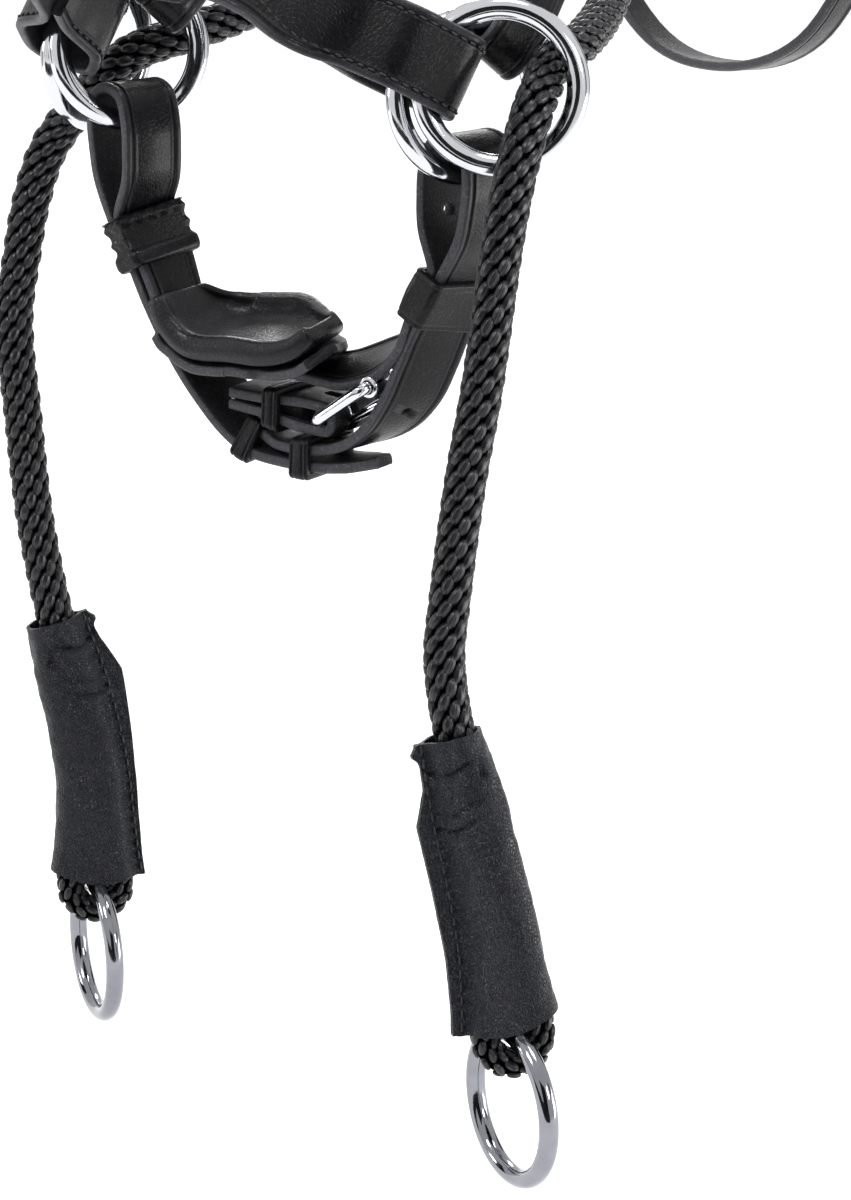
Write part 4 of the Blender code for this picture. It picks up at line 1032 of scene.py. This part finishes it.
def buckle(prefix, heel, along, across, wide, body, roller_body=None):
    """A buckle's frame, tongue and roller; heel is the middle of the bar that carries the strap."""
    out = along.cross(across)
    half = wide / 2 + GAP * 2 + BUCKLE_WIRE / 2
    corner = 2.5
    frame_line = []
    for a, b, turn in ((BUCKLE_LENGTH, 1, 0), (0, 1, 90), (0, -1, 180), (BUCKLE_LENGTH, -1, 270)):
        inward = 1 if a == 0 else -1
        centre = heel + along * (a + inward * corner) + across * b * (half - corner)
        for step in range(9):
            angle = math.radians(turn + 90 * step / 8)
            frame_line.append(centre + along * corner * math.cos(angle)
                + across * corner * math.sin(angle))
    fine = []
    for p, q in zip(frame_line, frame_line[1:] + frame_line[:1]):
        parts = max(1, int((q - p).length / 2.5))
        fine += [p.lerp(q, n / parts) for n in range(parts)]
    wire(prefix + "_frame", prefix + "_buckle", fine, [BUCKLE_WIRE / 2] * len(fine), "bridle", True,
        out)
    bend = (BUCKLE_WIRE + TONGUE_WIRE) / 2 + GAP
    pin = [heel + along * bend * math.cos(math.radians(d)) + out * bend * math.sin(math.radians(d))
        for d in range(-210, 91, 10)]
    stout = TONGUE_WIRE * (1.35 if roller_body else 1.0)
    rest = ((ROLLER if roller_body else BUCKLE_WIRE) + stout) / 2 + GAP
    for t in (0.15, 0.3, 0.45, 0.6, 0.75, 0.9, 0.95, 1.0):
        pin.append(heel + along * (BUCKLE_LENGTH + 1.5) * t + out * (bend + (rest - bend) * t))
    radii = [TONGUE_WIRE / 2] * (len(pin) - 6) + [stout * 0.46, stout * 0.50, stout * 0.50,
        stout * 0.50, stout * 0.46, stout * 0.24]
    radii[0] = TONGUE_WIRE * 0.35
    wire(prefix + "_tongue_wire", prefix + "_buckle_tongue", pin, radii, body, False, across)
    if roller_body:
        sections = []
        inner = BUCKLE_WIRE / 2 + GAP
        length = wide - 1
        for end, radius in ((-1, inner), (-1, ROLLER / 2 - 0.35), (-0.965, ROLLER / 2),
                (0.965, ROLLER / 2), (1, ROLLER / 2 - 0.35), (1, inner)):
            sections.append([heel + along * BUCKLE_LENGTH + across * length / 2 * end
                + (along * math.cos(a) + out * math.sin(a)) * radius for a in turns(32)])
        made = skin(prefix + "_roller", sections, [chrome], closed=True)
        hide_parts(prefix + "_buckle_roller")
        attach(made, roller_body)


def punched(target, spots):
    """Punch holes through a strap, each given by its centre, the direction through it, the
    direction of its length, its width and its length."""
    for centre, through, across, size, length in spots:
        along = through.cross(across).normalized()
        rows = []
        for end in (-8, 8):
            row = []
            for t in turns(24):
                push = (length - size) / 2 * (1 if math.cos(t) > 0 else -1)
                row.append(centre + through * end + across * (size / 2 * math.cos(t) + push)
                    + along * size / 2 * math.sin(t))
            rows.append(row)
        cutter = skin("punch", rows, [cut_edge])
        for item in target.data.materials[1:]:
            cutter.data.materials.append(item)
        modifier = target.modifiers.new("punch", "BOOLEAN")
        modifier.operation = "DIFFERENCE"
        modifier.object = cutter
        modifier.material_mode = "TRANSFER"
        bpy.context.view_layer.update()
        shown = target.evaluated_get(bpy.context.evaluated_depsgraph_get())
        cut_mesh = bpy.data.meshes.new_from_object(shown)
        target.modifiers.clear()
        old = target.data
        target.data = cut_mesh
        bpy.data.meshes.remove(old)
        bpy.data.objects.remove(cutter)


heel = chin_point(*CHIN_HEEL)
buckle("chin", heel, Vector((0.81, 0, 0.59)).normalized(), -BACK, CHIN_WIDTH, "chin_tongue",
    "chin_roller")
bar = BUCKLE_WIRE / 2 + GAP + LEATHER / 2
chape = fold(heel, Vector((-1, 0, 0.04)).normalized(), Vector((0.04, 0, 1)).normalized(), bar,
    FOLD_REACH, PLY)
made, _ = strap("chin_chape_leather", "chin_chape", chape, BACK, CHIN_WIDTH - 1, face=-1)
punched(made, [(heel + Vector((3, 0, 0)), Vector((0, 0, 1)), Vector((1, 0, 0)), SLOT_WIDTH,
    SLOT_LENGTH)])

# The billet's punched holes: their diameter, and the stations that they lie at
CHIN_HOLE = 3.4
CHIN_HOLES = (84, 195, 214, 232)
for n in CHIN_HOLES:
    point, side, out = chin_stations["chin_billet"][n]
    punched(chin_leather["chin_billet"], [(point, out, side, CHIN_HOLE, CHIN_HOLE)])

# Keepers are short loops of the same leather, pulled tight round the straps that run through them
def crossing(near, centre, along, across, out, place):
    """Where the corners of the straps near a keeper cross the plane that lies so far along it."""
    spots = []
    for (p, half, rise), (q, half_q, rise_q) in near:
        for a, b in ((-1, -1), (1, -1), (1, 1), (-1, 1)):
            start = p + half * a + rise * b - centre
            end = q + half_q * a + rise_q * b - centre
            low, high = start.dot(along) - place, end.dot(along) - place
            if low * high <= 0 and low != high:
                spot = start.lerp(end, low / (low - high))
                if spot.length < 30 and abs(spot.dot(out)) < 16:
                    spots.append(Vector((spot.dot(across), spot.dot(out))))
    return spots


# The throatlatch bends where its lower keeper slides, so that keeper is wide enough for its way
KEEPER_SLIDE = 6.0
# How far below a buckle's heel its two keepers sit; the upper one is sewn down
KEEPER_LEVELS = ((-12, "upper"), (-30, "lower"))
# Only what lies this near a keeper runs through it
KEEPER_SEARCH = 40


def keeper(name, node, holds, centre, along, across, length, wall=2.2, ribs=None, body="bridle"):
    """A leather loop round the straps of some nodes; a rib is (place, height, wave, spread)."""
    across = (across - along * across.dot(along)).normalized()
    out = along.cross(across)
    near = [pair for held in holds for pair in zip(RUNS[held], RUNS[held][1:])
        if (pair[0][0] - centre).length < KEEPER_SEARCH]
    half = length / 2
    profile = [(-half, 0.0), (-half, wall * 0.5), (-half + 0.35, wall * 0.85)]
    profile += [(-half + 0.8 + (length - 1.6) * t / 30, wall * 0.92) for t in range(31)]
    profile += [(half - 0.35, wall * 0.85), (half, wall * 0.5), (half, 0.0)]
    slide = KEEPER_SLIDE if body == "throat_sliding_keeper" else 0.0
    corners = []
    for place in (-half, 0.0, half):
        spots = (crossing(near, centre, along, across, out, place)
            + crossing(near, centre, along, across, out, place - slide / 2)
            + crossing(near, centre, along, across, out, place - slide))
        corners.append([max(spots, key=Vector(way).dot)
            for way in ((1, 1), (-1, 1), (-1, -1), (1, -1))])
    outlines = []
    for a, _ in profile:
        t = abs(a) / half
        four = [corners[1][n].lerp(corners[2 if a > 0 else 0][n], t) for n in range(4)]
        line = []
        for n, spot in enumerate(four):
            onward = (four[(n + 1) % 4] - spot).normalized()
            backward = (spot - four[n - 1]).normalized()
            first = math.atan2(-backward.x, backward.y)
            turn = (math.atan2(-onward.x, onward.y) - first) % (2 * math.pi)
            for step in range(9):
                way = Vector((math.cos(first + turn * step / 8), math.sin(first + turn * step / 8)))
                line.append((spot, way))
            side = four[(n + 1) % 4] - spot
            line += [(spot + side * step / 24, way) for step in range(1, 24)]
        outlines.append(line)
    sections = []
    for k in range(len(outlines[0])):
        row = []
        for (a, r), line in zip(profile, outlines):
            spot, way = line[k]
            if r > wall * 0.9:
                run = sum((line[m + 1][0] - line[m][0]).length for m in range(k))
                if ribs:
                    r = wall * 0.40
                    for place, rise, wave, spread in ribs:
                        shift = 0.30 * math.sin(run * 2 * math.pi / 4.4 + place) * wave
                        bump = math.exp(-((a - place - shift) / spread) ** (2 if wave else 4))
                        r = max(r, wall * 0.40 + rise * bump)
                else:
                    r -= 0.28 * math.exp(-((abs(a) - half + 1.6) / 0.35) ** 2)
                    r += 0.1 * math.cos(math.pi * a / length)
            spot = spot + way * (r + 0.2)
            row.append(centre + along * a + across * spot.x + out * spot.y)
        sections.append(row)
    made = skin(name, sections, [bridle_leather], closed=True)
    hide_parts(node)
    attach(made, body)


keeper("chin_ribbed_keeper", "chin_keeper_right", ["chin_strap"], chin_point(-57.0, -56.8),
    Vector((0.45, 0, -0.89)).normalized(), chin_ways["right"], 16,
    ribs=[(-5.8, 1.0, 1, 1.2), (-0.8, 0.9, 1, 1.1), (5.2, 1.6, 0, 2.7)])
keeper("chin_wide_keeper", "chin_keeper_left", ["chin_billet"], chin_point(52.0, -61.0),
    Vector((-0.42, 0, -0.91)).normalized(), chin_ways["left"], 16)
keeper("chin_tip_keeper", "chin_keeper_tip", ["chin_billet", "chin_strap"],
    chin_point(-14.5, -111.5), Vector((1, 0, -0.25)).normalized(), BACK, 7, 1.7)
keeper("chin_cushion_keeper", "chin_keeper_pad", ["chin_chape"], chin_point(-4.0, -100.6),
    Vector((1, 0, -0.04)).normalized(), BACK, 6)
keeper("chin_middle_keeper", "chin_keeper_buckle", ["chin_billet", "chin_strap"],
    chin_point(7.0, -113.5), Vector((1, 0, 0)), BACK, 7)

# A cheek strap loops on each inner ring and carries a buckle at its top
CHEEK_UP = Vector((0.044, 0.651, 0.758)).normalized()
CHEEK_ACROSS = Vector((0, -0.76, 0.65)).normalized()
CHEEK_LENGTH = 178.0
CHEEK_WIDTH = 16.0
CHEEK_HOLD = {"left": 48, "right": 46}
HOLE = 4.4
BILLET_PATH = [(-66, 5.6), (-44, 5.7), (-20, 7.2), (-5, 8.2), (3, 7.0), (9, 3.0), (15, -1.6),
    (21, -4.0), (30, -4.2), (44, -3.4)]
heels = {}
for side in ("left", "right"):
    sign = -INWARD[side]
    up = Vector((CHEEK_UP.x * sign, CHEEK_UP.y, CHEEK_UP.z))
    out = up.cross(CHEEK_ACROSS) * sign
    ring = RINGS["noseband_ring_" + side]
    angle = CHEEK_HOLD[side]
    turned, axis = ring_fold([(ring, angle)], ring.tangent(angle), up, CHEEK_WIDTH, FOLD_REACH, PLY)
    if (turned[3] - turned[7]).x * sign < 0:
        turned.reverse()
    if axis.dot(CHEEK_ACROSS) < 0:
        axis = -axis
    heel = ring.at(angle) + up * CHEEK_LENGTH
    across = up.cross(out) * -1
    buckle("cheek_" + side, heel, up, across, CHEEK_WIDTH, "cheek_%s_tongue" % side)
    chape = fold(heel, -up, out, bar, FOLD_REACH, PLY)
    made, line = strap("cheek_strap_" + side, "cheekpiece_" + side, list(reversed(turned)) + chape,
        [axis] * len(turned) + [CHEEK_ACROSS] * len(chape), CHEEK_WIDTH,
        face=1 if side == "left" else -1)
    punched(made, [(heel + up * 3, out, up, SLOT_WIDTH, SLOT_LENGTH)])
    heels[side] = (heel, up, out)

# The headpiece is the crown strap: wide over the poll, split down to a narrow punched end on each
# side that runs through the cheek buckle and its two keepers. A pad is sewn under its middle.
CROWN_WIDTH = 40.0
CROWN_PAD_WIDTH = 54.0
CROWN_SIDE = [(75.5, -78, -92), (75.0, -52, -58), (67.0, -29, -27), (46.0, -12, -4), (22, -4, 6.5)]
CROWN_TOP = (0, 0, 9.95)
CROWN_STEPS = 9


def mirror(vector):
    return Vector((-vector.x, vector.y, vector.z))


billet = {}
for side, (heel, up, out) in heels.items():
    billet[side] = [heel + up * a + out * b for a, b in BILLET_PATH]
route = (billet["left"] + [Vector(p) for p in CROWN_SIDE] + [Vector(CROWN_TOP)]
    + [mirror(Vector(p)) for p in reversed(CROWN_SIDE)] + list(reversed(billet["right"])))
level = [CHEEK_ACROSS] * (len(BILLET_PATH) + 2) + [Vector((0, -0.9, 0.44)),
    Vector((0, -0.97, 0.25)), Vector((0, -0.99, 0.1))]
across = level + [Vector((0, -1, 0))] + list(reversed(level))
half = [12, CHEEK_WIDTH] + [CHEEK_WIDTH] * (len(BILLET_PATH) - 1) + [24, 36, CROWN_WIDTH,
    CROWN_WIDTH]
made, crown = strap("crown_strap", "headpiece", route, across,
    half + [CROWN_WIDTH] + list(reversed(half)), CROWN_STEPS, tips=(12, 12))
holes = []
for side, (heel, up, out) in heels.items():
    holes.append((heel + up * 9 + out * 3, out, up, HOLE, 11.0))
punched(made, holes)
middle = len(crown) // 2
padded_line = [(point, -side, -out) for point, side, out in finer(crown, middle - 15, middle + 15,
    80)]
pad("crown_lining", "headpiece_padding", padded_line, CROWN_PAD_WIDTH, PAD_THICKNESS, lift)
for side, (heel, up, out) in heels.items():
    for place, level_name in KEEPER_LEVELS:
        body = "bridle" if level_name == "upper" else "cheek_sliding_keeper_" + side
        keeper("cheek_loop_%s_%s" % (level_name, side), "cheek_keeper_%s_%s" % (level_name, side),
            ["headpiece", "cheekpiece_" + side], heel + up * place + out * 4, up, CHEEK_ACROSS, 9,
            body=body)

# The browband crosses the forehead; a sewn loop at each end slides on the headpiece
BROW_WIDTH = 24.0
BROW_ROUTE = [(72, -101, -78), (42, -124, -65), (0, -133, -60)]
crown_sides = {"left": crown, "right": crown[::-1]}
ends, ways = {}, {}
for side in ("left", "right"):
    at = CROWN_STEPS * len(BILLET_PATH) + 3
    point, over, _ = crown_sides[side][at]
    along = (crown_sides[side][at + 3][0] - crown_sides[side][at - 3][0]).normalized()
    over = (over - along * over.dot(along)).normalized()
    normal = along.cross(over)
    keeper("browband_end_" + side, "browband_loop_" + side, ["headpiece"], point, along, over,
        BROW_WIDTH)
    reach = [(v.co / MM - point).dot(normal)
        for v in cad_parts["browband_loop_" + side].data.vertices]
    rise = (max(reach) + GAP * 7 + LEATHER / 2 if normal.x * point.x > 0 else min(reach) - GAP * 7
        - LEATHER / 2)
    ends[side] = [point + normal * rise + over * shift for shift in (-9, 1, 11)]
    ways[side] = [along if along.z > 0 else -along] * 3
route = ends["right"] + [mirror(Vector(p)) for p in BROW_ROUTE[:2]] + [Vector(BROW_ROUTE[2])]
route += [Vector(p) for p in reversed(BROW_ROUTE[:2])] + list(reversed(ends["left"]))
strap("brow_strap", "browband", route, ways["right"] + [Vector((0, 0.5, 0.86))] * 5 + ways["left"],
    BROW_WIDTH, steps=9)

# The throatlatch is sewn under the crown on the right, hangs under the jaw and buckles on the left
THROAT_WIDTH = 16.0
THROAT_RIGHT = [(-67, -17, -50), (-73, -18, -78), (-81, -20, -112), (-87, -14, -160),
    (-88, -8, -220), (-77, -4, -288)]
THROAT_LOW = [(-45, -5, -337), (0, -24, -345), (45, -44, -328), (71, -47, -284)]
THROAT_HEEL = (84, -42, -222)
THROAT_UP = Vector((0.10, 0.10, 0.99)).normalized()
# Which station of the crown the straps are sewn under, and the thread's slack between them
SEWN_STATION = 111
SEWN_SLACK = 1.7
THROAT_ACROSS = Vector((0, -0.995, 0.1)).normalized()
THROAT_LEFT = [(88, -27, -126), (82, -22, -96), (73, -18, -78), (67, -17, -50)]


def sewn_inside(stations, toward, shift, layer=1):
    """Points and width directions of a strap end sewn under the crown, from its end outwards."""
    point, over, normal = stations[SEWN_STATION]
    inward = normal if normal.dot(Vector((0, 0, -30)) - point) > 0 else -normal
    point = point + over * shift
    along = toward - point
    along = (along - inward * along.dot(inward)).normalized()
    rise = (LEATHER + GAP) * layer + SEWN_SLACK * (0.4 + layer * 0.6)
    points = [point + inward * rise + along * place for place in (-9, 0, 8)]
    return points, [inward.cross(along)] * 3


def alike(ways, other):
    return [way if way.dot(other) > 0 else -way for way in ways]


out = Vector((1, 0, 0))
out = (out - THROAT_UP * out.dot(THROAT_UP)).normalized()
heel = Vector(THROAT_HEEL)
across = THROAT_UP.cross(out) * -1
buckle("throat", heel, THROAT_UP, across, THROAT_WIDTH, "throat_tongue")
chape = fold(heel, -THROAT_UP, out, bar, FOLD_REACH, PLY)
start, ways = sewn_inside(crown_sides["right"], Vector(THROAT_RIGHT[0]), -8)
free = [Vector(p) for p in THROAT_RIGHT + THROAT_LOW]
made, _ = strap("throat_strap", "throatlatch", start + free + list(reversed(chape)),
    alike(ways, THROAT_ACROSS) + [THROAT_ACROSS] * (len(free) + len(chape)), THROAT_WIDTH, steps=9)
punched(made, [(heel + THROAT_UP * 3, out, THROAT_UP, SLOT_WIDTH, SLOT_LENGTH)])
tip = [heel + THROAT_UP * a + out * b for a, b in BILLET_PATH]
top, ways = sewn_inside(crown_sides["left"], Vector(THROAT_LEFT[-1]), -8)
route = tip + [Vector(p) for p in THROAT_LEFT] + list(reversed(top))
made, _ = strap("throat_punched_strap", "throat_billet", route,
    [THROAT_ACROSS] * (len(route) - len(top)) + alike(ways, THROAT_ACROSS),
    [11] + [THROAT_WIDTH] * (len(route) - 1), steps=9, tips=(12, 0))
punched(made, [(heel + THROAT_UP * 9 + out * 3, out, THROAT_UP, HOLE, 11.0)])
for place, level_name in KEEPER_LEVELS:
    keeper("throat_loop_" + level_name, "throat_keeper_" + level_name,
        ["throat_billet", "throatlatch"], heel + THROAT_UP * place + out * 4, THROAT_UP,
        THROAT_ACROSS, 9, body="bridle" if level_name == "upper" else "throat_sliding_keeper")

# A leather tab under the crown holds each rope's upper end: flat where it is sewn, and closed round
# the rope at its lower end.
for side, far in (("left", "right"), ("right", "left")):
    end, toward = lines[side][0] / MM, lines[side][1] / MM
    start, ways = sewn_inside(crown_sides[far], end, -4, 2)
    back = (end - toward).normalized()
    route = start + [end + back * 14, end + back * (GAP + 5), end + back * GAP]
    stations = stations_of(route, alike(ways, THROAT_ACROSS) + [THROAT_ACROSS] * 3, 8)
    last = len(stations) - 1
    sections = []
    for k, (point, over, out) in enumerate(stations):
        grow = max(0, (k / last - 0.62) / 0.38)
        wide = 16 + (ROPE + 1 - 16) * grow
        thick = LEATHER + (ROPE + 1 - LEATHER) * grow
        sections.append([point + over * wide / 2 * math.cos(t) + out * thick / 2 * math.sin(t)
            for t in turns(32, 0.5)])
    made = skin("rope_tab_" + far, sections, [bridle_leather])
    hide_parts("rope_anchor_" + far)
    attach(made, "bridle")

# A plain white sweep under the bridle and soft boxes round it, as for a catalogue picture. The
# background is white to the camera, to reflections and to transmitted light.
world = bpy.data.worlds.new("white_room")
bpy.context.scene.world = world
world.use_nodes = True
tree = world.node_tree
back = tree.nodes["Background"]
rays = add_node(tree, "ShaderNodeLightPath")
seen = add_node(tree, "ShaderNodeMath", {0: rays.outputs["Is Camera Ray"],
    1: rays.outputs["Is Glossy Ray"]}, operation="MAXIMUM")
seen = add_node(tree, "ShaderNodeMath", {0: seen.outputs[0],
    1: rays.outputs["Is Transmission Ray"]}, operation="MAXIMUM")
level = add_node(tree, "ShaderNodeMapRange", {0: seen.outputs[0], 3: 0.45, 4: 1.0})
back.inputs["Color"].default_value = (1, 1, 1, 1)
tree.links.new(level.outputs[0], back.inputs["Strength"])
floor_paint, tree, shader = new_material("matt_white_floor", "#ececec",
    {"Roughness": 0.9, "Emission Color": (1, 1, 1, 1)})
rays = add_node(tree, "ShaderNodeLightPath")
seen = add_node(tree, "ShaderNodeMath", {0: rays.outputs["Is Camera Ray"],
    1: rays.outputs["Is Glossy Ray"]}, operation="MAXIMUM")
glow = add_node(tree, "ShaderNodeMath", {0: seen.outputs[0], 1: 0.55}, operation="MULTIPLY")
tree.links.new(glow.outputs[0], shader.inputs["Emission Strength"])
floor = bpy.data.objects.new("floor", bpy.data.meshes.new("floor"))
FLOOR_HALF, FLOOR_LEVEL = 6, -0.66
corners = [(x * FLOOR_HALF, y * FLOOR_HALF, FLOOR_LEVEL)
    for x, y in ((-1, -1), (1, -1), (1, 1), (-1, 1))]
floor.data.from_pydata(corners, [], [(0, 1, 2, 3)])
floor.data.materials.append(floor_paint)
bpy.context.collection.objects.link(floor)
AIM = Vector((0.0, -0.25, -0.38))


def aimed(place):
    """A place, with -Z turned towards the middle of the bridle."""
    turned = (AIM - Vector(place)).to_track_quat("-Z", "Y")
    return Matrix.Translation(place) @ turned.to_matrix().to_4x4()


for name, place, power, size in (("key_box", (-0.6, -1.5, 1.1), 16, 0.45),
        ("side_box", (1.6, -0.5, 0.3), 9, 0.4), ("top_box", (0.3, -0.1, 1.5), 14, 0.6),
        ("back_box", (-0.9, 1.1, 0.3), 8, 0.5), ("low_box", (0.66, 0.10, -0.56), 3, 0.35),
        ("left_box", (-1.3, -1.0, -0.2), 4, 0.3)):
    lamp = bpy.data.lights.new(name, "AREA")
    lamp.energy = power
    lamp.size = size
    holder = bpy.data.objects.new(name, lamp)
    holder.matrix_world = aimed(place)
    bpy.context.collection.objects.link(holder)
card_paint, *_ = new_material("matt_black_card", "#0a0a0a", {"Roughness": 0.9})
for name, place, wide, tall in (("card_front", (1.15, -2.2, 0.1), 1.7, 2.0),
        ("card_low", (0.1, -0.85, -0.64), 1.3, 0.35), ("card_left", (-1.3, -0.7, -0.25), 0.35, 0.9),
        ("card_right", (1.3, 0.3, -0.2), 0.3, 0.8), ("card_back", (0.2, 1.3, -0.2), 0.5, 0.8)):
    card = bpy.data.objects.new(name, bpy.data.meshes.new(name))
    card.data.from_pydata([(-wide / 2, -tall / 2, 0), (wide / 2, -tall / 2, 0),
        (wide / 2, tall / 2, 0), (-wide / 2, tall / 2, 0)], [], [(0, 1, 2, 3)])
    card.data.materials.append(card_paint)
    card.matrix_world = aimed(place)
    for ray in ("camera", "diffuse", "shadow", "transmission"):
        setattr(card, "visible_" + ray, False)
    bpy.context.collection.objects.link(card)
bpy.context.scene.view_settings.view_transform = "Standard"
